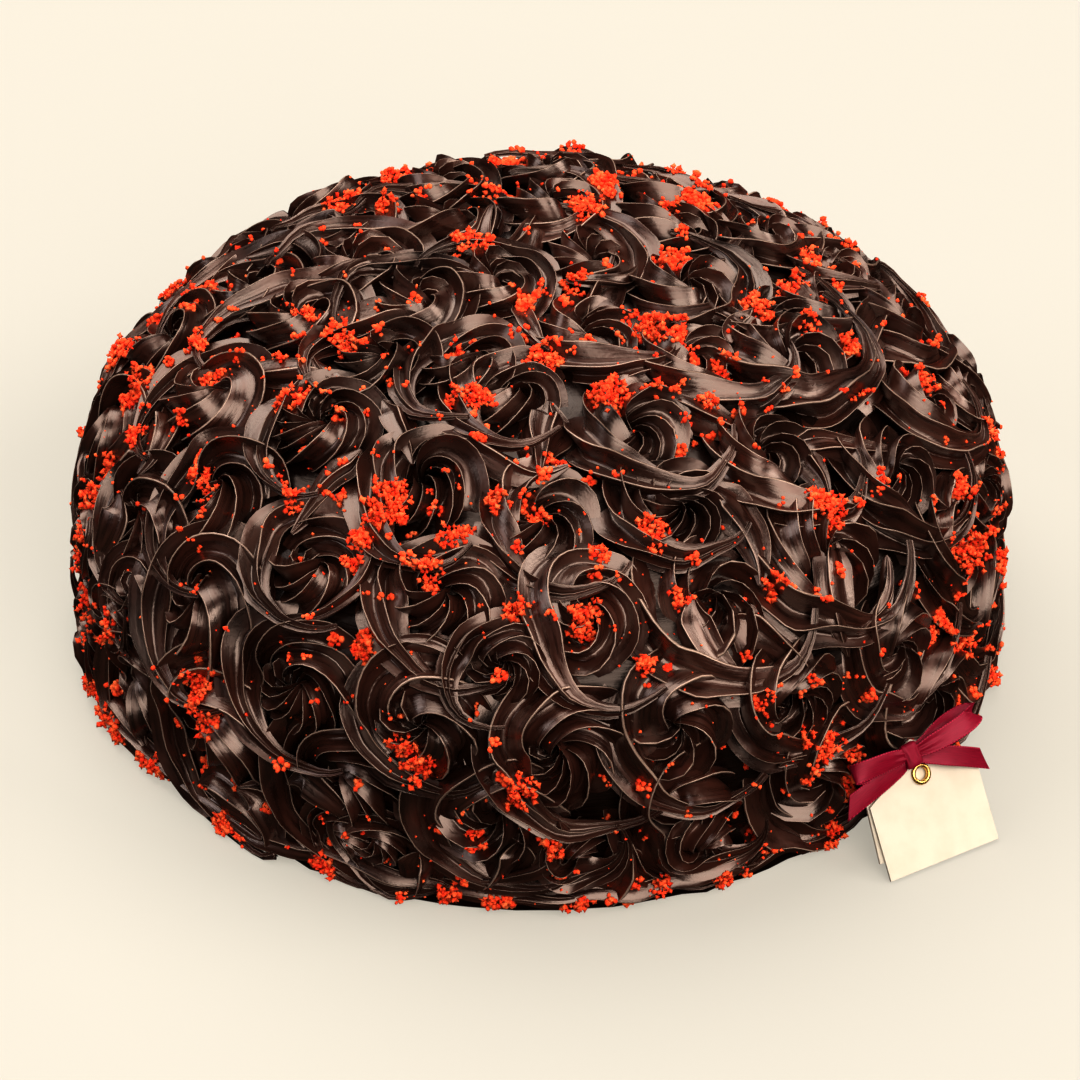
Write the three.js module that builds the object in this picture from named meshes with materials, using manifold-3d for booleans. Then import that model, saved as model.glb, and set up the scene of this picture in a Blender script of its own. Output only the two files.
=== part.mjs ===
// A round domed chocolate cake, covered all over in piped ganache rosettes with clumps of red cake
// crumb on them, and the small blank gift tag with a ribbon bow that leans against its foot.
// Millimetres, +Z up. The origin is the centre of the flat underside and the front looks along -Y.
// A turn is an angle round the cake in degrees, 0 at the front and positive towards +X. An arc is a
// distance up the outside of the cake from its foot, in mm.

import * as THREE from "three";
import { mergeVertices } from "three/addons/utils/BufferGeometryUtils.js";
import Module from "manifold-3d";

const wasm = await Module();
wasm.setup();

// Driving dimensions

const cake = {
  footRadius: 130, // where the ganache meets the surface below
  waistRadius: 132.5,
  waistHeight: 35,
  height: 109,
  domePower: 2.4, // 2 would be an ellipse, more is squarer at the shoulder
  sideSpread: 4.5, // how much further the foot comes out at the left and the right
  sideStart: 0.72, // sine of the turn where that begins
  sideFull: 0.95, // and where it is reached
};

const core = { depth: 6.5, sides: 20, rings: 5, footBand: 5, footFlare: 12 };

// Rosettes in rings from the foot to the crown. seen holds the turn and the arc of each one on the
// front half, and unseen is how many share the rest of that ring behind them.
const rings = [
  {
    reach: 21.5,
    unseen: 10,
    seen: [[-77, 27], [-59, 25], [-42, 34], [-24, 33], [-6, 33], [16, 31], [34, 27], [53, 29], [71, 30]],
  },
  {
    reach: 19,
    unseen: 9,
    seen: [
      [-84, 74], [-66, 73], [-48, 70], [-31, 63], [-15, 63], [3, 57], [16, 58], [31, 57], [47, 54],
      [63, 61], [80, 62],
    ],
  },
  {
    reach: 19.5,
    unseen: 8,
    seen: [[-76, 111], [-55, 97], [-35, 97], [-15, 97], [6, 91], [23, 88], [42, 88], [61, 92], [80, 91]],
  },
  {
    reach: 18.5,
    unseen: 5,
    seen: [
      [-106, 118], [-89, 138], [-49, 129], [-23, 126], [1, 121], [23, 120], [45, 119], [74, 134], [99, 122],
    ],
  },
  {
    reach: 19,
    unseen: 2,
    seen: [[-116, 149], [-62, 158], [-13, 160], [26, 146], [57, 156], [89, 141], [98, 164], [139, 146]],
  },
  { reach: 18, unseen: 0, seen: [[-92, 174], [-34, 171], [148, 180], [40, 184], [-130, 190]] },
];

const rosette = {
  wraps: 1.57, // turns of the rope from its tail to the eye
  stepsPerTurn: 7,
  ropeShare: 0.4, // rope width as a share of the rosette's reach
  crest: 1.5, // how far the ridge of the rope stands above the mean outline
  groove: 5, // how far the groove between two turns of it lies below
  root: 9, // how far its rim is buried
  tailShare: 0.35, // share of the first turn over which the tail grows
  tailDrop: 4, // how much lower the rope lies at the tail's point
  eyeDrop: 1.5, // and at the eye
  tailTurn: -34, // where the tail points, anticlockwise from the right
  tailDrift: 0.25, // how that changes with the turn round the cake
  scatter: { reach: 1, tail: 14, arc: 3 },
};

// The largest crumb clumps on the front half: turn, arc and radius
const seenClumps = [
  [65, 61, 8], [70, 173, 7.6], [-26, 116, 7], [21, 159, 6.3], [56, 46, 6.2], [-84, 86, 6], [46, 99, 5.8],
  [-14, 49, 5.5], [6, 90, 5.5], [34, 41, 5.2], [-42, 38, 5.2], [-21, 154, 5.2], [-101, 72, 6],
  [-14, 115, 5], [-2, 45, 5], [18, 112, 5], [100, 134, 5], [120, 194, 4.6], [88, 147, 5], [83, 96, 4.9],
  [60, 165, 4.8], [2, 177, 4.8], [-59, 128, 4.8], [-43, 48, 4.7], [-138, 117, 4.7], [-22, 79, 4.5],
  [-74, 149, 4.3], [-106, 104, 4], [-62, 4, 4], [-16, 100, 4], [89, 59, 4], [-138, 175, 4.2], [-40, 4, 3.8],
  [37, 4, 3.8], [-26, 4, 3.7], [-11, 3, 3.7], [164, 156, 7], [143, 145, 4.6],
];

const clumps = {
  unseen: 6, // more of them by rule on the back half
  backStart: 105, // turn at which the back half's clumps begin
  backSpan: 150,
  footClear: 5, // left free of them above the foot
  crownClear: 40, // and below the middle of the crown
  large: 6.5,
  small: 3.4,
  spread: 0.22, // how uneven a clump's outline is
  squash: 0.8, // height as a share of radius
  sink: 0.8, // how far a clump's middle lies below the mean outline
};

const tag = {
  width: 34.4,
  shoulder: 20.5, // height of the straight sides
  height: 29.5,
  thickness: 0.7,
  holeUp: 24.2, // height of the eyelet's centre
  holeRadius: 2.35,
  lean: 37, // degrees back from upright
  swing: 28.1, // degrees that its foot is turned from the front
  foot: new THREE.Vector3(92.6, -118.8, 0), // lower left corner of the front card
  backShift: new THREE.Vector2(-1.2, 5.2), // the card behind is higher and a little askew
  backTurn: -3,
};

const eyelet = { bore: 1.75, barrel: 2.05, flange: 2.95, flangeThickness: 0.5 };

const bow = {
  ribbonWidth: 5.4,
  ribbonThickness: 0.5,
  knot: new THREE.Vector2(15, 30.4),
  knotSize: new THREE.Vector3(6, 6.6, 3.6),
  loops: [
    { length: 17.5, turn: 176, thickness: 4.2 },
    { length: 21, turn: 9, thickness: 5 },
  ],
  tails: [
    { tip: new THREE.Vector2(-6.8, 22.2), width: 5 },
    { tip: new THREE.Vector2(36, 20.5), width: 5.4 },
  ],
};

const gap = 0.3; // left between pieces that touch

const colours = {
  ganache: { color: 0x2b1a13, roughness: 0.36, metalness: 0 },
  card: { color: 0xf6eedd, roughness: 0.7, metalness: 0 },
  gold: { color: 0xc9a04a, roughness: 0.25, metalness: 1 },
  ribbon: { color: 0x8f1436, roughness: 0.4, metalness: 0 },
};

// Helpers

const radians = (degrees) => (degrees * Math.PI) / 180;

// A repeatable number from 0 to 1 for each place in a list
function draw(list, index) {
  const value = Math.sin(list * 127.1 + index * 311.7 + 74.7) * 43758.5453;
  return value - Math.floor(value);
}

const scatter = (list, index, size) => (draw(list, index) * 2 - 1) * size;

// A closed solid from a three.js geometry, facing outwards
function solid(geometry) {
  const bare = geometry.clone();
  bare.deleteAttribute("normal");
  bare.deleteAttribute("uv");
  const merged = mergeVertices(bare, 1e-4);
  const place = merged.attributes.position.array;
  const faces = [];
  let volume = 0;
  for (let i = 0; i < merged.index.count; i += 3) {
    const [a, b, c] = merged.index.array.slice(i, i + 3);
    if (a === b || b === c || c === a) continue;
    faces.push([a, b, c]);
    const corner = [a, b, c].map((v) => new THREE.Vector3().fromArray(place, v * 3));
    volume += corner[0].dot(corner[1].cross(corner[2]));
  }
  const triVerts = new Uint32Array(faces.flatMap((face) => (volume > 0 ? face : face.reverse())));
  return new wasm.Manifold(new wasm.Mesh({ numProp: 3, vertProperties: new Float32Array(place), triVerts }));
}

function geometryOf(manifold) {
  const { vertProperties, triVerts } = manifold.getMesh();
  const geometry = new THREE.BufferGeometry();
  geometry.setAttribute("position", new THREE.BufferAttribute(vertProperties, 3));
  geometry.setIndex(new THREE.BufferAttribute(triVerts, 1));
  geometry.computeVertexNormals();
  return geometry;
}

function solidFrom(points, index) {
  const geometry = new THREE.BufferGeometry();
  const places = points.flatMap((point) => point.toArray());
  geometry.setAttribute("position", new THREE.Float32BufferAttribute(places, 3));
  geometry.setIndex(index);
  return solid(geometry);
}

// The cake's outline: a wall that swells from the foot to the waist, and a dome over it

const outline = [];
const wallSteps = 40;
const domeSteps = 240;
for (let i = 0; i < wallSteps; i++) {
  const climb = i / wallSteps;
  const swell = Math.sin((climb * Math.PI) / 2);
  const radius = cake.footRadius + (cake.waistRadius - cake.footRadius) * swell;
  outline.push({ radius, height: cake.waistHeight * climb });
}
for (let i = 0; i <= domeSteps; i++) {
  const angle = ((i / domeSteps) * Math.PI) / 2;
  const power = 2 / cake.domePower;
  const rise = (cake.height - cake.waistHeight) * Math.sin(angle) ** power;
  const radius = i < domeSteps ? cake.waistRadius * Math.cos(angle) ** power : 0;
  outline.push({ radius, height: cake.waistHeight + rise });
}
outline.forEach((point, i) => {
  const before = outline[Math.max(i - 1, 0)];
  const after = outline[Math.min(i + 1, outline.length - 1)];
  const along = new THREE.Vector2(after.radius - before.radius, after.height - before.height).normalize();
  point.along = along;
  point.out = new THREE.Vector2(along.y, -along.x);
  const step = Math.hypot(point.radius - before.radius, point.height - before.height);
  point.arc = i ? before.arc + step : 0;
});

const atArc = (arc) => outline.find((point) => point.arc >= arc) ?? outline.at(-1);

function nearest(radius, height) {
  let best = outline[0];
  let least = Infinity;
  for (const point of outline) {
    const distance = (point.radius - radius) ** 2 + (point.height - height) ** 2;
    if (distance < least) [best, least] = [point, distance];
  }
  return best;
}

// How much further out the foot lies towards the left and the right
function sideSpread(angle, height) {
  const sideways = THREE.MathUtils.smoothstep(Math.abs(Math.sin(angle)), cake.sideStart, cake.sideFull);
  return cake.sideSpread * sideways * (1 - THREE.MathUtils.smoothstep(height, 0, cake.waistHeight));
}

// A place on the cake: east and up are measured from a turn and an arc along the surface, and lift
// outwards from it
function onCake(turn, arc, east, up, lift) {
  const base = atArc(arc);
  const reach = base.radius + up * base.along.x;
  const point = nearest(Math.hypot(reach, east), base.height + up * base.along.y);
  const angle = radians(turn) + Math.atan2(east, reach);
  const radius = point.radius + lift * point.out.x + sideSpread(angle, point.height);
  const height = Math.max(point.height + lift * point.out.y, 0);
  return new THREE.Vector3(radius * Math.sin(angle), -radius * Math.cos(angle), height);
}

// The cake under its piping, with a band of ganache round the foot

function cakeCore() {
  const profile = [new THREE.Vector2(0, 0), new THREE.Vector2(cake.footRadius, 0)];
  profile.push(new THREE.Vector2(cake.footRadius, core.footBand));
  const start = atArc(core.footFlare).arc;
  const end = outline.at(-1).arc;
  for (let i = 0; i < core.rings; i++) {
    const point = atArc(start + ((end - start) * i) / core.rings);
    const radius = point.radius - core.depth * point.out.x;
    profile.push(new THREE.Vector2(radius, point.height - core.depth * point.out.y));
  }
  profile.push(new THREE.Vector2(0, cake.height - core.depth));
  const lathe = new THREE.LatheGeometry(profile, core.sides);
  return solid(lathe.rotateX(Math.PI / 2));
}

// One rosette: a single ridge that winds clockwise from its tail in to the eye, with a groove beside
// it. The rim and the groove are one spiral line, edge(k), and the crest runs between its turns.

function rosetteSolid(turn, arc, reach, tailTurn) {
  const perTurn = rosette.stepsPerTurn;
  const last = Math.round(rosette.wraps * perTurn);
  const width = (k) => reach * rosette.ropeShare * Math.min(1, 0.12 + k / (rosette.tailShare * perTurn));
  const edge = (k) => (k <= perTurn ? reach : edge(k - perTurn) - width(k - perTurn));
  const points = [];
  const addPoint = (k, radius, lift) => {
    const angle = radians(tailTurn - (360 * k) / perTurn);
    points.push(onCake(turn, arc, radius * Math.cos(angle), radius * Math.sin(angle), lift));
    return points.length - 1;
  };
  const groove = [];
  const crest = [];
  for (let k = 0; k <= last + perTurn; k++) {
    groove.push(addPoint(k, edge(k), k <= perTurn ? -rosette.root : -rosette.groove));
  }
  for (let k = 0; k <= last; k++) {
    const fullness = Math.min(1, (k + 1) / (rosette.tailShare * perTurn));
    const lift = rosette.crest * fullness - rosette.tailDrop * (1 - fullness) - (rosette.eyeDrop * k) / last;
    crest.push(addPoint(k, edge(k) - width(k) / 2, lift));
  }
  const eye = addPoint(0, 0, -rosette.groove);
  const under = addPoint(0, 0, -rosette.root - 1);
  const index = [groove[0], crest[0], groove[perTurn], under, groove[0], groove[perTurn]];
  for (let k = 0; k < last; k++) {
    index.push(groove[k], groove[k + 1], crest[k + 1], groove[k], crest[k + 1], crest[k]);
    const [a, b] = [groove[k + perTurn], groove[k + perTurn + 1]];
    index.push(crest[k], crest[k + 1], b, crest[k], b, a);
  }
  for (let k = 0; k < perTurn; k++) {
    index.push(groove[k + 1], groove[k], under);
    index.push(groove[last + k], groove[last + k + 1], eye);
  }
  index.push(groove[last + perTurn], crest[last], eye, crest[last], groove[last], eye);
  return solidFrom(points, index);
}

function placedRosettes() {
  const places = [];
  rings.forEach((ring, row) => {
    ring.seen.forEach(([turn, arc]) => places.push({ turn, arc, reach: ring.reach }));
    const first = ring.seen.at(-1)[0];
    const step = (ring.seen[0][0] + 360 - first) / (ring.unseen + 1);
    const middle = ring.seen.reduce((sum, [, arc]) => sum + arc, 0) / ring.seen.length;
    for (let i = 1; i <= ring.unseen; i++) {
      const arc = middle + scatter(row, i, rosette.scatter.arc);
      places.push({ turn: first + step * i, arc, reach: ring.reach });
    }
  });
  places.forEach((place, i) => {
    const front = Math.sin(radians(place.turn)) * 90;
    place.reach += scatter(11, i, rosette.scatter.reach);
    place.tailTurn = rosette.tailTurn + rosette.tailDrift * front + scatter(12, i, rosette.scatter.tail);
  });
  return places;
}

// Crumb clumps: uneven lumps that sit half sunk in the ganache

function placedClumps() {
  const places = seenClumps.map(([turn, arc, radius]) => ({ turn, arc, radius }));
  const end = outline.at(-1).arc;
  for (let i = 0; i < clumps.unseen; i++) {
    const rank = (i + 0.5) / clumps.unseen;
    const turn = clumps.backStart + clumps.backSpan * ((i * 0.618) % 1) + scatter(21, i, 4);
    const share = (i * 0.382 + draw(22, i) * 0.1) % 1;
    const arc = clumps.footClear + (end - clumps.footClear - clumps.crownClear) * share;
    places.push({ turn, arc, radius: clumps.large + (clumps.small - clumps.large) * rank ** 0.6 });
  }
  return places;
}

function clump({ turn, arc, radius }, number) {
  const geometry = new THREE.OctahedronGeometry(1.1, 0);
  geometry.deleteAttribute("normal");
  geometry.deleteAttribute("uv");
  const lump = mergeVertices(geometry, 1e-3);
  const place = lump.attributes.position;
  for (let i = 0; i < place.count; i++) {
    const grow = radius * (1 + scatter(30 + number, i, clumps.spread));
    const [east, up, lift] = [place.getX(i) * grow, place.getY(i) * grow, place.getZ(i) * grow];
    const point = onCake(turn, arc, east, up, lift * clumps.squash - clumps.sink);
    place.setXYZ(i, point.x, point.y, point.z);
  }
  return solid(lump);
}

function frostedCake() {
  const pieces = [cakeCore()];
  for (const { turn, arc, reach, tailTurn } of placedRosettes()) {
    pieces.push(rosetteSolid(turn, arc, reach, tailTurn));
  }
  placedClumps().forEach((place, i) => pieces.push(clump(place, i)));
  const shells = pieces.reduce((whole, piece) => whole.add(piece)).decompose();
  // The largest shell is the cake's outside: without the others, sealed hollows are filled
  return shells.reduce((most, shell) => (shell.volume() > most.volume() ? shell : most));
}

// The tag, built flat with its lower left corner at the origin and its face to +Z

function cardShape() {
  const shape = new THREE.Shape();
  shape.moveTo(0, 0);
  shape.lineTo(tag.width, 0);
  shape.lineTo(tag.width, tag.shoulder);
  shape.lineTo(tag.width / 2, tag.height);
  shape.lineTo(0, tag.shoulder);
  return shape;
}

function frontCard() {
  const shape = cardShape();
  const hole = new THREE.Path();
  hole.absarc(tag.width / 2, tag.holeUp, tag.holeRadius, 0, Math.PI * 2, true);
  shape.holes.push(hole);
  return new THREE.ExtrudeGeometry(shape, { depth: tag.thickness, bevelEnabled: false, curveSegments: 12 });
}

function backCard() {
  const card = new THREE.ExtrudeGeometry(cardShape(), { depth: tag.thickness, bevelEnabled: false });
  card.rotateZ(radians(tag.backTurn));
  return card.translate(tag.backShift.x, tag.backShift.y, -tag.thickness - gap);
}

function eyeletRing() {
  const face = tag.thickness + gap;
  const profile = [
    [eyelet.bore, 0],
    [eyelet.barrel, 0],
    [eyelet.barrel, face],
    [eyelet.flange, face],
    [eyelet.flange - 0.2, face + eyelet.flangeThickness],
    [eyelet.bore + 0.2, face + eyelet.flangeThickness],
    [eyelet.bore, 0],
  ].map(([x, y]) => new THREE.Vector2(x, y));
  const ring = new THREE.LatheGeometry(profile, 20).rotateX(Math.PI / 2);
  return ring.translate(tag.width / 2, tag.holeUp, 0);
}

// A ribbon loop: a long closed band seen on edge, as wide as the ribbon and narrow at the knot
function ribbonLoop({ length, turn, thickness }) {
  const steps = 18;
  const oval = (grow) => {
    const points = [];
    for (let i = 0; i < steps; i++) {
      const angle = (i / steps) * Math.PI * 2;
      const along = (1 - Math.cos(angle)) / 2;
      const fat = Math.sin(angle) * (0.45 + 0.55 * along);
      const side = (thickness * fat) / 2 + Math.sin(angle) * grow;
      points.push(new THREE.Vector2(along * length - Math.cos(angle) * grow, -side));
    }
    return points;
  };
  const shape = new THREE.Shape(oval(bow.ribbonThickness / 2));
  shape.holes.push(new THREE.Path(oval(-bow.ribbonThickness / 2)));
  const loop = new THREE.ExtrudeGeometry(shape, { depth: bow.ribbonWidth, bevelEnabled: false });
  loop.translate(0, 0, -bow.ribbonWidth / 2).rotateX(Math.PI / 2).rotateZ(radians(turn));
  return solid(loop.translate(bow.knot.x, bow.knot.y, tag.thickness + gap + 1 + thickness / 2));
}

function ribbonTail({ tip, width }) {
  const along = tip.clone().sub(bow.knot);
  const side = new THREE.Vector2(-along.y, along.x).setLength(width / 2);
  const cut = along.clone().setLength(width * 0.6);
  const shape = new THREE.Shape([
    bow.knot.clone().addScaledVector(side, 0.6),
    bow.knot.clone().addScaledVector(side, -0.6),
    tip.clone().sub(side).sub(cut),
    tip.clone().add(side),
  ]);
  const strip = new THREE.ExtrudeGeometry(shape, { depth: bow.ribbonThickness, bevelEnabled: false });
  return solid(strip.translate(0, 0, tag.thickness + gap + 0.8));
}

function ribbonBow() {
  const { x: width, y: height, z: depth } = bow.knotSize;
  const knot = new THREE.SphereGeometry(0.5, 12, 8).scale(width, height, depth);
  knot.translate(bow.knot.x, bow.knot.y, tag.thickness + gap + depth / 2);
  const pieces = [solid(knot), ...bow.loops.map(ribbonLoop), ...bow.tails.map(ribbonTail)];
  return geometryOf(pieces.reduce((whole, piece) => whole.add(piece)));
}

// The scene

function piece(name, geometry, finish) {
  const mesh = new THREE.Mesh(geometry, new THREE.MeshStandardMaterial(finish));
  mesh.name = name;
  return mesh;
}

const tagGroup = new THREE.Group();
tagGroup.add(piece("tag_front_card", frontCard(), colours.card));
tagGroup.add(piece("tag_back_card", backCard(), colours.card));
tagGroup.add(piece("tag_eyelet", eyeletRing(), colours.gold));
tagGroup.add(piece("ribbon_bow", ribbonBow(), colours.ribbon));
tagGroup.rotation.set(radians(90 - tag.lean), 0, radians(tag.swing), "ZYX");
tagGroup.position.copy(tag.foot);

const whole = new THREE.Group();
whole.add(piece("frosted_cake", geometryOf(frostedCake()), colours.ganache));
whole.add(tagGroup);

export default whole;
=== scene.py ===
import math

import bmesh
import bpy
import numpy as np
from mathutils.bvhtree import BVHTree
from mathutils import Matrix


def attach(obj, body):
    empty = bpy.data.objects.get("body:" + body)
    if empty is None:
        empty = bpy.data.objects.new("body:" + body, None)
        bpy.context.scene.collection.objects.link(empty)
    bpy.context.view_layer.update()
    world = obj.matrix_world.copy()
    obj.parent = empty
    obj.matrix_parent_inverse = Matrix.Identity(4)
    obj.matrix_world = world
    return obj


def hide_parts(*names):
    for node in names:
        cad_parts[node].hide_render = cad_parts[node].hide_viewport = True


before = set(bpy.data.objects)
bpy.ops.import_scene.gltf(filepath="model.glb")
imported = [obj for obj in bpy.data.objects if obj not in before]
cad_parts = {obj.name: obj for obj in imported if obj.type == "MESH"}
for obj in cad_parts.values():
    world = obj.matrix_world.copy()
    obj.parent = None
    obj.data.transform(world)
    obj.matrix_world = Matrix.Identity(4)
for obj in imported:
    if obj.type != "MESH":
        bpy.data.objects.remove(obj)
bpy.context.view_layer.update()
print("frame loaded")

# Lengths in the dictionaries are in millimetres where no note says metres; meshes are turned to metres
# as they are made

cameraLook = {
    "place": (0.0, -0.6541, 0.5427),    # metres
    "pitchDown": 38.59,   # degrees below the horizon
    "lens": 95.4,
    "sensor": 36.0,
}

cameraData = bpy.data.cameras.new("camera")
cameraData.lens = cameraLook["lens"]
cameraData.sensor_width = cameraLook["sensor"]
camera = bpy.data.objects.new("camera", cameraData)
camera.location = cameraLook["place"]
camera.rotation_euler = (math.radians(90 - cameraLook["pitchDown"]), 0, 0)
bpy.context.scene.collection.objects.link(camera)
bpy.context.scene.camera = camera
print("camera placed")


def draw(listNumber, index):
    value = np.sin(listNumber * 127.1 + np.asarray(index, float) * 311.7 + 74.7) * 43758.5453
    return value - np.floor(value)


def scatter(listNumber, index, size):
    return (draw(listNumber, index) * 2 - 1) * size


def smoothStep(value):
    share = np.clip(value, 0, 1)
    return share * share * (3 - 2 * share)


def unit(vectors):
    length = np.linalg.norm(vectors, axis=-1, keepdims=True)
    return vectors / np.maximum(length, 1e-9)


def wander(points, wavelength, size, seed):
    # a smooth uneven field made of sine waves in many directions
    rng = np.random.RandomState(seed)
    moved = np.zeros_like(points)
    for _ in range(7):
        direction = unit(rng.normal(size=3)) * 2 * math.pi / (wavelength * rng.uniform(0.7, 1.5))
        push = unit(rng.normal(size=3))
        moved += np.sin(points @ direction + rng.uniform(0, 2 * math.pi))[:, None] * push
    return moved * size / math.sqrt(7)


def makePiece(name, points, faceLists, material, flow=None):
    mesh = bpy.data.meshes.new(name)
    mesh.vertices.add(len(points))
    mesh.vertices.foreach_set("co", (points * 0.001).astype(np.float32).ravel())
    corners = np.concatenate([faces.ravel() for faces in faceLists])
    sizes = np.concatenate([np.full(len(faces), faces.shape[1]) for faces in faceLists])
    mesh.loops.add(len(corners))
    mesh.loops.foreach_set("vertex_index", corners.astype(np.int32))
    mesh.polygons.add(len(sizes))
    starts = np.concatenate([[0], np.cumsum(sizes)[:-1]])
    mesh.polygons.foreach_set("loop_start", starts.astype(np.int32))
    mesh.polygons.foreach_set("use_smooth", np.ones(len(sizes), bool))
    if flow is not None:
        layer = mesh.uv_layers.new(name="flow")
        layer.data.foreach_set("uv", flow.astype(np.float32).ravel())
    mesh.update(calc_edges=True)
    mesh.validate()
    mesh.materials.append(material)
    piece = bpy.data.objects.new(name, mesh)
    bpy.context.scene.collection.objects.link(piece)
    return piece


def countTriangles(piece):
    return sum(len(face.vertices) - 2 for face in piece.data.polygons)


def link(material, source, target):
    material.node_tree.links.new(source, target)


def setInputs(material, node, inputs):
    # a socket is linked, and anything else is the input's fixed value
    for key, value in inputs.items():
        if isinstance(value, bpy.types.NodeSocket):
            link(material, value, node.inputs[key])
        else:
            node.inputs[key].default_value = value


def addNode(material, kind, inputs=None, **settings):
    node = material.node_tree.nodes.new(kind)
    for key, value in settings.items():
        setattr(node, key, value)
    setInputs(material, node, inputs or {})
    return node


def newMaterial(name):
    material = bpy.data.materials.new(name)
    material.use_nodes = True
    material.node_tree.nodes.clear()
    output = addNode(material, "ShaderNodeOutputMaterial")
    shader = addNode(material, "ShaderNodeBsdfPrincipled")
    link(material, shader.outputs["BSDF"], output.inputs["Surface"])
    return material, shader


def objectPlace(material):
    return addNode(material, "ShaderNodeTexCoord").outputs["Object"]


def flowMap(material):
    return addNode(material, "ShaderNodeUVMap", uv_map="flow").outputs["UV"]


def addNoise(material, place, scale, detail=2):
    node = addNode(material, "ShaderNodeTexNoise", {"Vector": place, "Scale": scale, "Detail": detail})
    return node.outputs["Fac"]


def addStretch(material, place, scales):
    node = addNode(material, "ShaderNodeMapping", {"Vector": place, "Scale": (*scales, 1)})
    return node.outputs["Vector"]


def addMath(material, operation, *values):
    node = addNode(material, "ShaderNodeMath", dict(enumerate(values)), operation=operation)
    return node.outputs["Value"]


def addRange(material, value, given, result=(0, 1)):
    node = addNode(material, "ShaderNodeMapRange", {
        "Value": value, "From Min": given[0], "From Max": given[1], "To Min": result[0], "To Max": result[1]})
    return node.outputs["Result"]


def addBump(material, height, strength, depth, under=None):
    node = addNode(material, "ShaderNodeBump", {"Height": height, "Strength": strength, "Distance": depth})
    if under is not None:
        link(material, under, node.inputs["Normal"])
    return node.outputs["Normal"]


def addRamp(material, factor, stops):
    ramp = addNode(material, "ShaderNodeValToRGB", {"Fac": factor})
    elements = ramp.color_ramp.elements
    while len(elements) < len(stops):
        elements.new(0.5)
    for element, (place, colour) in zip(elements, stops):
        element.position = place
        element.color = (*colour, 1)
    return ramp.outputs["Color"]


ganacheLook = {
    "dark": (0.011, 0.0034, 0.0019),
    "light": (0.072, 0.0220, 0.0130),
    # painted shade: the core seen in the gaps between rosettes is coloured far darker than the ganache
    "gapShadeDark": (0.004, 0.0014, 0.0008),
    "gapShadeLight": (0.014, 0.0045, 0.0027),
    # painted highlight: the narrow top of each lip is coloured much lighter than the ganache
    "lipHighlightDark": (0.19, 0.125, 0.095),
    "lipHighlightLight": (0.52, 0.38, 0.30),
    "cloudScale": 45,
    "toneStops": (0.12, 0.42),    # where the dark tone ends and the light one begins
    "roughness": (0.21, 0.37),
    "glossRange": (0.3, 0.7),
    "specular": 0.82,
    "lipSpecular": 0.8,
    "deepSpecular": 0.35,
    "bending": 1.7,     # index of refraction
    "shine": (1.0, 0.80, 0.70),
    "streakAcross": 1.6,   # streaks a millimetre across the rope
    "streakAlong": 0.09,
    "streakDepth": 0.00010,    # metres
    "bubbleScale": 900,
    "bubbleDepth": 0.00005,    # metres
}


def ganacheMaterial(name, dark, light, specular):
    look = ganacheLook
    material, shader = newMaterial(name)
    place = objectPlace(material)
    cloud = addNoise(material, place, look["cloudScale"], 3)
    streakPlace = addStretch(material, flowMap(material), (look["streakAlong"], look["streakAcross"]))
    streak = addNoise(material, streakPlace, 1, 4)
    fine = addNoise(material, place, look["bubbleScale"])
    tone = addMath(material, "MULTIPLY", cloud, streak)
    streakBump = addBump(material, streak, 1.0, look["streakDepth"])
    setInputs(material, shader, {
        "Base Color": addRamp(material, tone, list(zip(look["toneStops"], (dark, light)))),
        "Roughness": addRange(material, streak, look["glossRange"], look["roughness"]),
        "Normal": addBump(material, fine, 1.0, look["bubbleDepth"], streakBump),
        "Specular IOR Level": specular,
        "IOR": look["bending"],
        "Specular Tint": (*look["shine"], 1)})
    return material


crumbLook = {
    "shade": (0.80, 0.050, 0.015),
    "middle": (0.88, 0.108, 0.031),
    "bright": (0.91, 0.215, 0.076),
    "toneScale": 420,
    "toneStops": (0.34, 0.5, 0.66),
    "roughness": 0.82,
    "specular": 0.3,
    "grainScale": 1400,
    "grainDepth": 0.00012,     # metres
    "glow": 0.12,              # share of the light that goes under the surface
    "glowReach": (1.0, 0.15, 0.08),
    "glowDepth": 0.0008,       # metres
}


def crumbMaterial():
    look = crumbLook
    material, shader = newMaterial("redCrumb")
    place = objectPlace(material)
    tone = addNoise(material, place, look["toneScale"], 3)
    stops = list(zip(look["toneStops"], (look["shade"], look["middle"], look["bright"])))
    setInputs(material, shader, {
        "Base Color": addRamp(material, tone, stops),
        "Normal": addBump(material, addNoise(material, place, look["grainScale"]), 1.0, look["grainDepth"]),
        "Roughness": look["roughness"],
        "Subsurface Weight": look["glow"],
        "Subsurface Radius": look["glowReach"],
        "Subsurface Scale": look["glowDepth"],
        "Specular IOR Level": look["specular"]})
    return material


ganache = ganacheMaterial("ganache", ganacheLook["dark"], ganacheLook["light"], ganacheLook["specular"])
# the lips' material is lighter as a painted highlight on their narrow tops
paintedLipHighlight = ganacheMaterial(
    "paintedLipHighlight", ganacheLook["lipHighlightDark"], ganacheLook["lipHighlightLight"], ganacheLook["lipSpecular"])
# the core's material is darker and duller as painted shade, so the gaps read as black
paintedGapShade = ganacheMaterial(
    "paintedGapShade", ganacheLook["gapShadeDark"], ganacheLook["gapShadeLight"], ganacheLook["deepSpecular"])
redCrumb = crumbMaterial()
print("ganache and crumb materials made")

# the cake's outline, from which every place on it is found
outlineShape = {
    "footRadius": 130.0,
    "waistRadius": 132.5,
    "waistHeight": 35.0,
    "height": 109.0,
    "domePower": 2.4,
    "sideSpread": 4.5,    # how much further the foot comes out at the left and the right
    "sideStart": 0.72,    # sine of the turn where that begins
    "sideFull": 0.95,
    "wallSteps": 40,
    "domeSteps": 240,
}


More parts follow.
